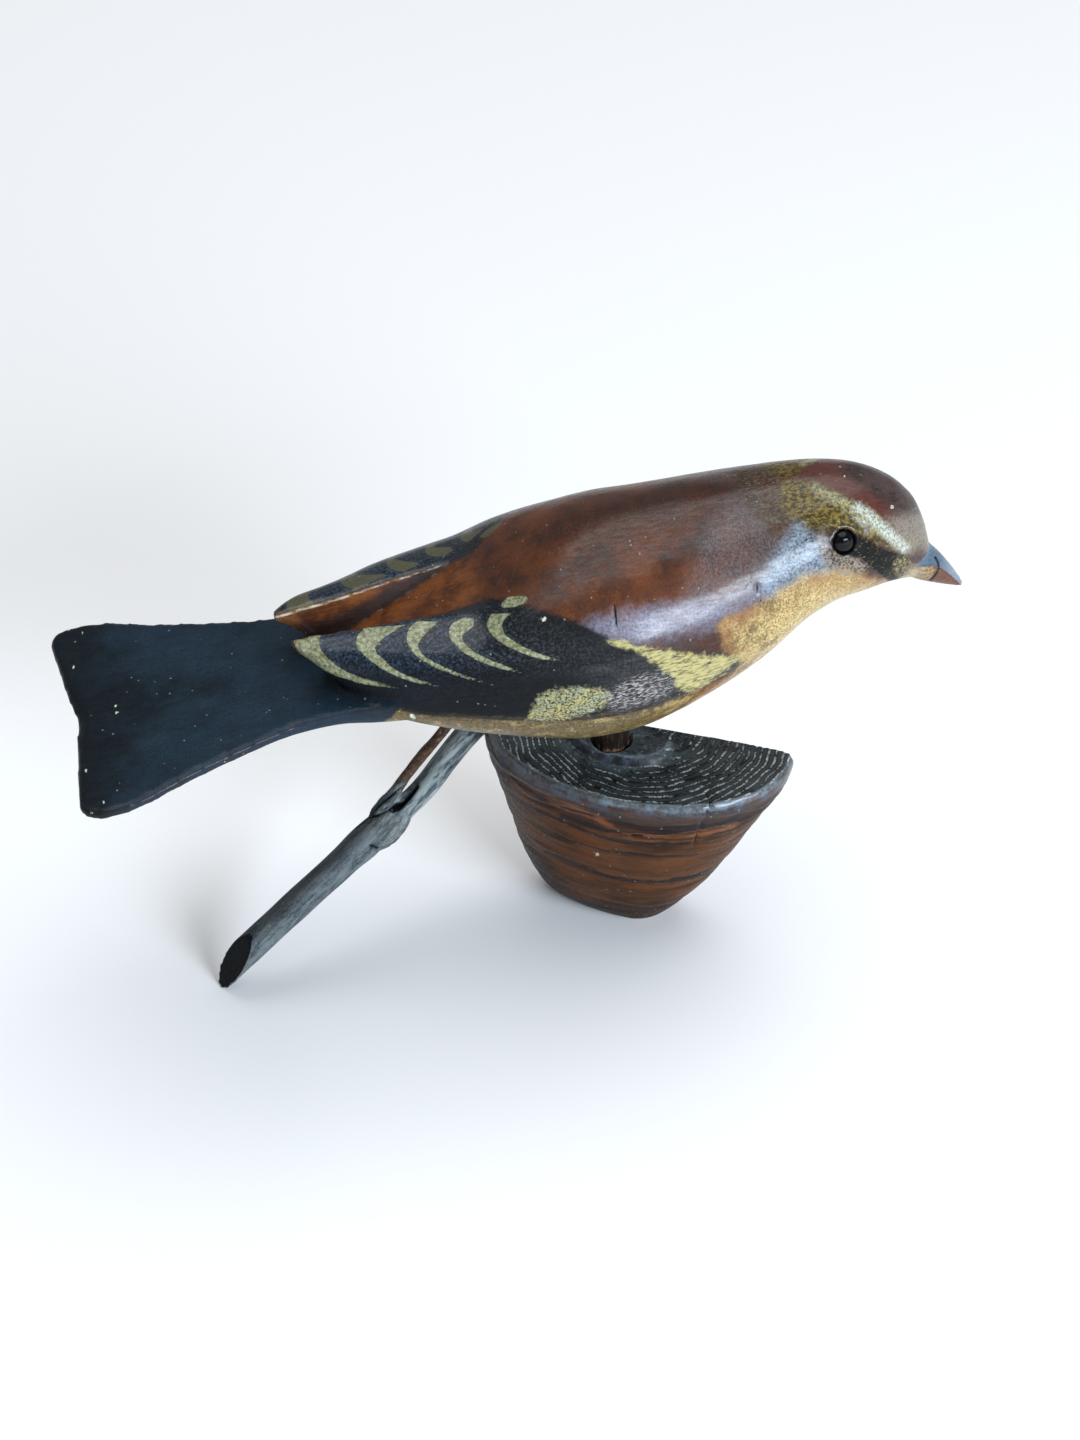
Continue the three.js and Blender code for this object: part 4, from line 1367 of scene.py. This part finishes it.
perchColours = {
    "top": (0.032, 0.036, 0.037),
    "topDark": (0.006, 0.006, 0.006),
    "dust": (0.40, 0.44, 0.44),
    "putty": (0.060, 0.082, 0.088),
    "rim": (0.050, 0.070, 0.098),
    "rimReflectionBlue": (0.115, 0.165, 0.215),
    "streak": (0.21, 0.078, 0.032),
    "nearBlack": (0.008, 0.007, 0.008),
    "orange": (0.115, 0.038, 0.011),
    "brown": (0.070, 0.027, 0.008),
    "lowBrown": (0.024, 0.010, 0.004),
    "chip": (0.55, 0.50, 0.33),
}


def ringedWood():
    c = perchColours
    material, tree, shader = newFinish(
        "ringed wood", Coat_Roughness=0.24, Coat_IOR=1.5, Specular_IOR_Level=0.08
    )
    spot = place(tree)
    fine = cloud(tree, spot, 0.5, 4.0, 0.7)
    cut = put(tree, "ShaderNodeSeparateXYZ", {0: spot}).outputs

    def edge(name, wobble, size, soft):
        return edgeMask(tree, layer(tree, name), spot, wobble, size, soft)

    # growth rings on the top, dust lying in them
    drift = cloud(tree, spot, 7, 2.0, 0.5)
    ring = sums(tree, "ADD", layer(tree, "ring"), ramp(tree, drift, 0.3, 0.7, -0.5, 0.5, "LINEAR"))
    furrow = sums(tree, "COSINE", times(tree, ring, 2 * math.pi / perchRelief["ringStep"]))
    outward = ramp(tree, ring, 8, 22)
    patches = sums(tree, "ADD", cloud(tree, spot, 2.4, 4.0, 0.75), times(tree, outward, 0.09))
    broken = times(tree, ramp(tree, patches, 0.47, 0.62), ramp(tree, fine, 0.38, 0.52))
    ragged = sums(tree, "ADD", furrow, times(tree, sums(tree, "SUBTRACT", fine, 0.5), 2.0))
    dusty = times(tree, ramp(tree, ragged, 0.35, 1.2), broken)
    haze = ramp(tree, cloud(tree, spot, 4, 4.0, 0.6), 0.42, 0.66)
    top = layColour(tree, ramp(tree, furrow, 0.6, -0.8), c["topDark"], c["top"])
    top = layColour(tree, times(tree, haze, 0.4), top, c["putty"])
    collar = edge("collar", 2.6, 1.8, 1.2)
    putty = layColour(tree, ramp(tree, fine, 0.56, 0.7, 0.0, 0.6), c["putty"], c["dust"])
    top = layColour(tree, times(tree, collar, ramp(tree, haze, 0.0, 0.7, 0.35, 0.9)), top, putty)
    top = layColour(tree, times(tree, dusty, ramp(tree, collar, 0.2, 0.9, 1.0, 0.25)), top, c["dust"])
    # bands down the sides
    terrace = layer(tree, "terrace")
    bandNoise = cloud(tree, place(tree, (9, 9, 1)), 1.1, 4.0, 0.65)
    broad = cloud(tree, place(tree, (3, 3, 1)), 4.5, 3.0, 0.6)
    side = layColour(tree, ramp(tree, cut[2], 3, 16), c["lowBrown"], c["brown"])
    side = layColour(tree, ramp(tree, broad, 0.42, 0.6, 0.0, 0.85), side, c["orange"])
    side = layColour(tree, ramp(tree, bandNoise, 0.5, 0.34, 0.0, 0.5), side, c["lowBrown"])
    wide = cloud(tree, place(tree, (6, 6, 1)), 3.2, 3.0, 0.55)
    side = layColour(tree, ramp(tree, wide, 0.5, 0.36, 0.0, 0.85), side, c["lowBrown"])
    lip = times(tree, ramp(tree, terrace, 0.3, 0.08, 0.0, 0.6), ramp(tree, bandNoise, 0.42, 0.6))
    side = layColour(tree, times(tree, lip, ramp(tree, cut[2], 31, 27)), side, c["orange"])
    side = layColour(tree, ramp(tree, terrace, 0.8, 1.0, 0.0, 0.8), side, c["nearBlack"])
    dark = times(tree, ramp(tree, cut[2], 28, 31.5), ramp(tree, bandNoise, 0.3, 0.6, 1.0, 0.55))
    side = layColour(tree, dark, side, c["nearBlack"])
    # blue-grey band under the rim: worn finish with a painted sheen
    patchyRim = ramp(tree, cloud(tree, spot, 2.2, 4.0, 0.7), 0.42, 0.6, 0.1, 1.0)
    rimBand = times(tree, ramp(tree, cut[2], 33.4, 35.2), patchyRim)
    side = layColour(tree, times(tree, rimBand, ramp(tree, fine, 0.34, 0.6, 0.45, 1.0)), side, c["rim"])
    grain = ramp(tree, bandNoise, 0.42, 0.6, 0.0, 0.85)
    side = layColour(tree, times(tree, edge("orangeLines", 1.6, 1.1, 0.8), grain), side, c["streak"])
    side = layColour(tree, times(tree, edge("darkLines", 0.7, 1.5, 0.2), 0.85), side, c["nearBlack"])
    # the left flank, turned away from the light, darkened: painted shade
    side = layColour(tree, times(tree, edge("shadedFlank", 3.0, 3.0, 2.2), 0.9), side, c["nearBlack"])
    # brighter blue on the front of the rim: a painted reflection of the window light
    side = layColour(tree, times(tree, edge("rimReflection", 1.8, 0.9, 0.6), patchyRim), side, c["rimReflectionBlue"])
    flat = layer(tree, "topPart")
    colour = layColour(tree, ramp(tree, flat, 0.35, 0.75), side, top)
    bend = use(tree, wear, Bend=layer(tree, "ridges"), Place=spot, Amount=1.0)
    creaseDarkening = times(tree, bend["CreaseDark"], ramp(tree, flat, 0.2, 0.6, 0.7, 0.0))
    colour = layColour(tree, creaseDarkening, colour, c["nearBlack"])
    colour = layColour(tree, times(tree, bend["Worn"], 0.2), colour, c["dust"])
    colour = layColour(tree, edge("cracks", 0.15, 0.6, 0.06), colour, c["nearBlack"])
    colour = layColour(tree, edge("chips", 0.3, 0.5, 0.08), colour, c["chip"])
    dots = use(tree, specks, Place=spot, Size=0.6, Share=0.02)["Mask"]
    colour = layColour(tree, times(tree, dots, 0.3), colour, c["dust"])
    link = tree.links.new
    link(colour, shader.inputs["Base Color"])
    link(ramp(tree, fine, 0.3, 0.7, 0.4, 0.68), shader.inputs["Roughness"])
    gloss = ramp(tree, cut[2], 31, 35, 0.15, 0.8)
    link(times(tree, gloss, ramp(tree, flat, 0.3, 0.8, 1.0, 0.25)), shader.inputs["Coat Weight"])
    height = sums(tree, "ADD", times(tree, bandNoise, 0.4), times(tree, fine, 0.4))
    link(bumpFrom(tree, height, 0.36, 0.8), shader.inputs["Normal"])
    return material


barkColours = {
    "grey": (0.105, 0.125, 0.138),
    "dark": (0.020, 0.027, 0.033),
    "pale": (0.31, 0.36, 0.36),
    "brown": (0.030, 0.017, 0.011),
    "brownLight": (0.11, 0.065, 0.04),
    "olive": (0.075, 0.072, 0.045),
    "cut": (0.003, 0.004, 0.005),
    "cutRim": (0.22, 0.22, 0.20),
}


def barkFinish():
    c = barkColours
    material, tree, shader = newFinish("bark", Specular_IOR_Level=0.12)
    spot = place(tree)
    run = layer(tree, "alongStem")
    fine = cloud(tree, spot, 0.5, 4.0, 0.7)
    onStem = put(tree, "ShaderNodeAttribute", attribute_name="fibrePlace").outputs["Vector"]
    fibre = sums(tree, "ADD", times(tree, cloud(tree, onStem, 0.5, 5.0, 0.7), 0.6), times(tree, fine, 0.4))
    colour = layColour(tree, ramp(tree, fibre, 0.34, 0.6), c["dark"], c["grey"])
    blotches = ramp(tree, cloud(tree, onStem, 1.3, 4.0, 0.7), 0.42, 0.6)
    high = times(tree, ramp(tree, run, 0.45, 0.7, 0.3, 1.0), blotches)
    colour = layColour(tree, high, colour, c["pale"])
    colour = layColour(tree, ramp(tree, layer(tree, "shade"), 0.1, 0.8, 0.0, 0.65), colour, c["dark"])
    upBranch = ramp(tree, layer(tree, "alongBranch"), 0.2, 0.42)
    thin = times(tree, ramp(tree, layer(tree, "branchPart"), -0.2, 0.3), upBranch)
    brown = layColour(tree, ramp(tree, fibre, 0.4, 0.62), c["brown"], c["brownLight"])
    colour = layColour(tree, thin, colour, brown)
    knot = times(tree, ramp(tree, layer(tree, "knotPart"), -0.4, 0.6), ramp(tree, fine, 0.4, 0.6))
    colour = layColour(tree, times(tree, knot, 0.7), colour, c["olive"])
    cutMask = ramp(tree, layer(tree, "cutPart"), -0.06, 0.06)
    cutColour = layColour(tree, ramp(tree, fine, 0.46, 0.75), c["cut"], c["dark"])
    colour = layColour(tree, cutMask, colour, cutColour)
    rim = times(tree, ramp(tree, layer(tree, "ridges"), 0.9, 2.4), 0.3)
    colour = layColour(tree, rim, colour, c["cutRim"])
    split = edgeMask(tree, layer(tree, "cracks"), spot, 0.3, 0.6, 0.1)
    colour = layColour(tree, split, colour, c["cut"])
    dots = use(tree, specks, Place=spot, Size=0.45, Share=0.06)["Mask"]
    dots = times(tree, dots, sums(tree, "SUBTRACT", 1.0, cutMask))
    colour = layColour(tree, times(tree, dots, 0.4), colour, c["pale"])
    link = tree.links.new
    link(colour, shader.inputs["Base Color"])
    link(ramp(tree, fine, 0.3, 0.7, 0.42, 0.68), shader.inputs["Roughness"])
    fibres = sums(tree, "ADD", fibre, times(tree, fine, 0.5))
    link(bumpFrom(tree, fibres, 0.3, 0.7), shader.inputs["Normal"])
    return material


def darkWood():
    material, tree, shader = newFinish("dark wood", Specular_IOR_Level=0.1)
    spot = place(tree)
    grain = cloud(tree, place(tree, (1, 1, 5)), 0.6, 4.0, 0.65)
    colour = layColour(tree, ramp(tree, grain, 0.4, 0.68), (0.006, 0.005, 0.005), (0.035, 0.018, 0.012))
    cut = put(tree, "ShaderNodeSeparateXYZ", {0: spot}).outputs
    foot = times(tree, ramp(tree, cut[2], 38.9, 38.2), ramp(tree, grain, 0.45, 0.6))
    colour = layColour(tree, times(tree, foot, 0.8), colour, (0.22, 0.13, 0.07))
    link = tree.links.new
    link(colour, shader.inputs["Base Color"])
    link(ramp(tree, grain, 0.3, 0.7, 0.45, 0.75), shader.inputs["Roughness"])
    link(bumpFrom(tree, grain, 0.3), shader.inputs["Normal"])
    return material


def eyeGlass():
    material, tree, shader = newFinish(
        "eye glass", Coat_Weight=0.28, Coat_Roughness=0.05, Specular_IOR_Level=0.05
    )
    spot = place(tree)
    haze = cloud(tree, spot, 0.7, 4.0, 0.7)
    colour = layColour(tree, ramp(tree, haze, 0.5, 0.75), (0.002, 0.002, 0.003), (0.008, 0.009, 0.010))
    link = tree.links.new
    link(colour, shader.inputs["Base Color"])
    link(ramp(tree, haze, 0.4, 0.75, 0.08, 0.3), shader.inputs["Roughness"])
    link(bumpFrom(tree, haze, 0.03), shader.inputs["Normal"])
    return material


# Relief of the perch, in millimetres
perchRelief = {
    "ringStep": 1.15,  # between growth rings on the top
    "ringDepth": 0.2,
    "terraces": (0, 8.5, 16.8, 23.4, 26.6, 30.6, 33.2, 37.5),  # heights where a layer ends
    "terraceStep": 0.8,
    "bandDepth": 0.16,  # of the bands down the sides
    "bandSize": 1.3,
    "cracks": [  # in the picture
        [(706, 793), (710, 800), (708, 812), (704, 822), (698, 832), (694, 846)],
        [(682, 800), (684, 803), (681, 808)],
        [(631, 836), (642, 837)],
        [(646, 719), (646.5, 728), (647, 738)],
    ],
    "crackWidth": 0.17,
    "crackDepth": 0.45,
    "chip": (597, 855, 2.0),
}
perchMarks = {  # in the picture
    "orangeLines": [
        ([(514, 783), (528, 793), (545, 801), (575, 810), (603, 821), (618, 834)], 3.2),
        ([(612, 834), (640, 837.5), (676, 837), (705, 834), (734, 827)], 3.0),
    ],
    "darkLines": [
        ([(560, 815), (590, 826), (612, 831), (640, 833), (676, 832), (720, 824), (745, 813)], 1.4),
        ([(520, 800), (545, 813), (580, 828), (612, 840), (640, 843), (690, 842)], 1.3),
        ([(545, 852), (580, 864), (620, 880), (670, 882), (712, 872)], 1.6),
    ],
    # the left flank that takes the painted shade
    "shadedFlank": [
        (480, 730), (492, 752), (506, 778), (512, 800), (520, 830), (545, 868), (570, 894), (600, 912),
        (585, 926), (470, 926), (460, 730),
    ],
    # the front of the rim that takes the painted blue reflection
    "rimReflection": [
        (598, 797), (625, 801), (660, 803), (700, 801), (740, 790), (768, 776), (778, 780), (760, 796),
        (730, 806), (700, 812), (655, 812), (622, 808), (602, 804),
    ],
}
groundPixelsPerMm = 5.9


def ageTop(block):
    s = perchRelief
    mesh = block.data
    points, normals = readPoints(mesh), readNormals(mesh)
    x, y, z = points.T
    radius = np.hypot(x - perch["centre"][0], y - perch["centre"][1]) + 0.35 * uneven(points, 6, 2.3)
    turn = math.radians(perch["turn"])
    dx, dy = x - perch["centre"][0], y - perch["centre"][1]
    along = dx * math.cos(turn) + dy * math.sin(turn)
    front = dx * math.sin(turn) - dy * math.cos(turn)
    collar = 6.2 - np.hypot((along - perch["mound"][0]) / 1.5, front - perch["mound"][1])
    topPart = smoothStep(36.2, 36.55, z) * smoothStep(0.55, 0.8, normals[:, 2])
    rings = 0.5 - 0.5 * np.cos(2 * np.pi * radius / s["ringStep"])
    depth = s["ringDepth"] * (0.6 + 0.8 * uneven(points, 3, 5.2)) * (1 - smoothStep(-1, 1, collar))
    push = -topPart * depth * (1 - rings)
    sides = 1 - smoothStep(0.3, 0.7, np.abs(normals[:, 2]))
    layerHeight = z + 2.4 * uneven(points, 15, 6.1) + 0.4 * uneven(points, 4, 2.9)
    levels = np.array(s["terraces"], float)
    at = np.clip(np.searchsorted(levels, layerHeight) - 1, 0, len(levels) - 2)
    terrace = np.clip((layerHeight - levels[at]) / (levels[at + 1] - levels[at]), 0, 1)
    fade = np.clip(0.55 + 0.9 * uneven(points, 10, 1.3), 0.1, 1)
    above = smoothStep(0.3, 2.5, z)
    push += sides * above * s["bandDepth"] * uneven(points, s["bandSize"], 1.7, (6, 6, 1))
    push += sides * above * 0.12 * uneven(points, 5, 7.7)
    fade *= 0.35 + 0.65 * smoothStep(12, 22, z)
    push += sides * above * s["terraceStep"] * fade * (smoothStep(0, 0.12, terrace) * (1 - terrace) - 0.5)
    spots = toPicture(points)
    toEye = np.array(photoCamera["place"]) - points
    facing = (normals * toEye).sum(1) > 0
    away = np.min([lineDistance(spots, flowing(line)) for line in s["cracks"]], 0) / groundPixelsPerMm
    push -= np.where(facing, s["crackDepth"] * np.exp(-(away / s["crackWidth"]) ** 2), 0)
    writePoints(mesh, points + normals * push[:, None])
    for name in ("orangeLines", "darkLines"):
        near = np.max([half - lineDistance(spots, flowing(line)) for line, half in perchMarks[name]], 0)
        writeLayer(mesh, name, np.where(facing, near / groundPixelsPerMm, -3))
    for name in ("shadedFlank", "rimReflection"):
        inside = outlineDistance(spots, flowing(perchMarks[name], 4, True)) / groundPixelsPerMm
        writeLayer(mesh, name, np.where(facing, inside, -3))
    writeLayer(mesh, "topPart", topPart)
    writeLayer(mesh, "ring", radius)
    writeLayer(mesh, "terrace", np.where(fade > 0.3, terrace, 0.5))
    writeLayer(mesh, "collar", np.where(z > 36, collar, -5))
    writeLayer(mesh, "cracks", np.where(facing, 0.14 - away, -1))
    px, py, r = s["chip"]
    chip = (r - np.hypot(spots[:, 0] - px, spots[:, 1] - py)) / groundPixelsPerMm
    writeLayer(mesh, "chips", np.where(facing, chip, -1))
    writeLayer(mesh, "ridges", np.clip(surfaceBend(mesh, points, normals) / 0.015, -4, 4))


ageTop(perchBlock)
print("perch aged")

# Relief of the twig, in millimetres
barkRelief = {
    "ridges": 0.08,
    "ridgeSize": 0.9,
    "knotRoughness": 0.25,
    "cracks": [  # in the picture
        [(355, 826), (364, 820), (372, 811), (383, 801), (393, 794), (408, 787)],
        [(367, 817), (378, 815.5), (390, 812), (399, 804), (407, 794), (416, 785)],
        [(371, 846), (384, 851), (397, 845), (406, 832)],
    ],
    "pit": [
        (388, 813), (396, 805), (404, 795), (414, 786), (419, 787), (411, 799), (402, 809), (394, 814),
    ],
    "pitDepth": 0.9,
    "crackWidth": 0.34,
    "crackDepth": 0.75,
    "forkRoughness": 0.3,
}


def nearestRun(points, line):
    run = np.concatenate([[0], np.cumsum(np.linalg.norm(np.diff(line, axis=0), axis=1))])
    best, at = np.full(len(points), 1e9), np.zeros(len(points))
    for i, (a, b) in enumerate(zip(line, line[1:])):
        along = b - a
        t = np.clip(((points - a) @ along) / (along @ along), 0, 1)
        away = np.linalg.norm(points - a - t[:, None] * along, axis=1)
        closer = away < best
        best = np.where(closer, away, best)
        at = np.where(closer, run[i] + t * np.linalg.norm(along), at)
    return best, at / run[-1]


def growBark(stem):
    s = barkRelief
    mesh = stem.data
    points, normals = readPoints(mesh), readNormals(mesh)
    fromStem, run = nearestRun(points, flowing(twig["stem"], 3))
    fromBranch, branchRun = nearestRun(points, flowing(twig["branch"], 3))
    heading = np.array(twig["heading"]) / np.linalg.norm(twig["heading"])
    along = points @ heading
    across = points - along[:, None] * heading
    spot = across + heading * along[:, None] / 5
    knotAway = np.linalg.norm((points - twig["knot"]) / 3.4, axis=1)
    inward = np.array(twig["cutFacing"]) / np.linalg.norm(twig["cutFacing"])
    cut = (points - twig["cut"]) @ inward
    onCut = smoothStep(0.75, 0.95, normals @ inward) * (np.abs(cut) < 0.4)
    push = s["ridges"] * uneven(spot, s["ridgeSize"], 4.4) * (1 - onCut)
    push += s["knotRoughness"] * uneven(points, 1.1, 9.1) * (1 - smoothStep(0.6, 1.3, knotAway))
    branchSide = fromStem - twig["stemRadius"](run) - fromBranch + twig["branchRadius"](branchRun)
    onBranch = smoothStep(-0.4, 0.4, branchSide)
    push += s["forkRoughness"] * onBranch * (1 - branchRun) * uneven(spot, 0.8, 2.2)
    spots = toPicture(points)
    away = np.min([lineDistance(spots, flowing(line)) for line in s["cracks"]], 0) / groundPixelsPerMm
    facing = (normals * (np.array(photoCamera["place"]) - points)).sum(1) > 0
    push -= np.where(facing, s["crackDepth"] * np.exp(-(away / s["crackWidth"]) ** 2), 0)
    pit = np.where(facing, outlineDistance(spots, np.array(s["pit"])) / groundPixelsPerMm, -1)
    push -= s["pitDepth"] * smoothStep(-0.3, 0.5, pit)
    push = np.where(points[:, 2] < 0.5, 0, push) * smoothStep(0.1, 1.3, np.abs(cut))
    writePoints(mesh, points + normals * push[:, None])
    writePlaces(mesh, "fibrePlace", spot)
    writeLayer(mesh, "alongStem", run)
    writeLayer(mesh, "branchPart", branchSide)
    writeLayer(mesh, "knotPart", 1.1 - knotAway)
    writeLayer(mesh, "cutPart", onCut - 0.5)
    writeLayer(mesh, "shade", np.clip(normals @ np.array([-0.55, 0.2, 0.55]), -1, 1))
    writeLayer(mesh, "cracks", np.maximum(np.where(facing, 0.22 - away, -1), pit))
    writeLayer(mesh, "alongBranch", branchRun)
    writeLayer(mesh, "ridges", np.clip(surfaceBend(mesh, points, normals, 1) / 0.02, -4, 4))


growBark(twigStem)
print("bark grown")


def dress(thing, material, node):
    thing.data.materials.clear()
    thing.data.materials.append(material)
    smoothShade(thing.data)
    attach(thing, "root")
    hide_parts(node)


glass = eyeGlass()
dress(chaffinch, paintedWood(), "bird")
dress(perchBlock, ringedWood(), "perch")
dress(twigStem, barkFinish(), "twig")
dress(pegStub, darkWood(), "peg")
dress(eyeBeads[-1], glass, "eye_right")
dress(eyeBeads[1], glass, "eye_left")
print("pieces dressed")


# Floor and light
studio = {
    "floorHalfSize": 6,
    "floorColour": (0.86, 0.86, 0.86),
    "sky": (0.96, 0.98, 1.0),
    "skyStrength": 0.22,
    "backdropStrength": 0.8,  # what the camera sees behind the floor
    "window": {
        "azimuth": 148,  # 0 is +Y, 90 is +X
        "elevation": 21,
        "distance": 0.9,
        "size": (0.46, 0.34),
        "power": 10.5,
        "colour": (0.78, 0.88, 1.0),
    },
    "overhead": {
        "azimuth": 30,
        "elevation": 74,
        "strength": 2.1,
        "angle": 62,
        "colour": (0.97, 0.985, 1.0),
    },
    "aim": (-0.01, 0, 0.06),
}


def makeFloor():
    bm = bmesh.new()
    bmesh.ops.create_grid(bm, x_segments=1, y_segments=1, size=studio["floorHalfSize"])
    mesh = bpy.data.meshes.new("floor")
    bm.to_mesh(mesh)
    bm.free()
    floor = newObject("floor", mesh)
    material, _, shader = newFinish("pale floor", Roughness=0.8)
    shader.inputs["Base Color"].default_value = (*studio["floorColour"], 1)
    floor.data.materials.append(material)


def toward(azimuth, elevation):
    az, el = math.radians(azimuth), math.radians(elevation)
    return Vector((math.sin(az) * math.cos(el), math.cos(az) * math.cos(el), math.sin(el)))


def newLight(name, kind, direction, colour):
    lamp = bpy.data.objects.new(name, bpy.data.lights.new(name, kind))
    bpy.context.scene.collection.objects.link(lamp)
    lamp.data.color = colour
    lamp.rotation_euler = direction.to_track_quat("Z", "Y").to_euler()
    return lamp


def lightStudio():
    window, overhead = studio["window"], studio["overhead"]
    direction = toward(window["azimuth"], window["elevation"])
    lamp = newLight("window", "AREA", direction, window["colour"])
    lamp.data.shape = "RECTANGLE"
    lamp.data.size, lamp.data.size_y = window["size"]
    lamp.data.energy = window["power"]
    lamp.location = Vector(studio["aim"]) + direction * window["distance"]
    direction = toward(overhead["azimuth"], overhead["elevation"])
    lamp = newLight("overhead", "SUN", direction, overhead["colour"])
    lamp.data.energy = overhead["strength"]
    lamp.data.angle = math.radians(overhead["angle"])


def hangSky():
    world = bpy.data.worlds.new("soft studio")
    world.use_nodes = True
    tree = world.node_tree
    sky = tree.nodes["Background"]
    sky.inputs["Color"].default_value = (*studio["sky"], 1)
    seen = put(tree, "ShaderNodeLightPath").outputs["Is Camera Ray"]
    strength = ramp(tree, seen, 0, 1, studio["skyStrength"], studio["backdropStrength"], "LINEAR")
    tree.links.new(strength, sky.inputs["Strength"])
    bpy.context.scene.world = world


makeFloor()
lightStudio()
hangSky()
bpy.context.scene.view_settings.view_transform = "Standard"
print("floor and light set")
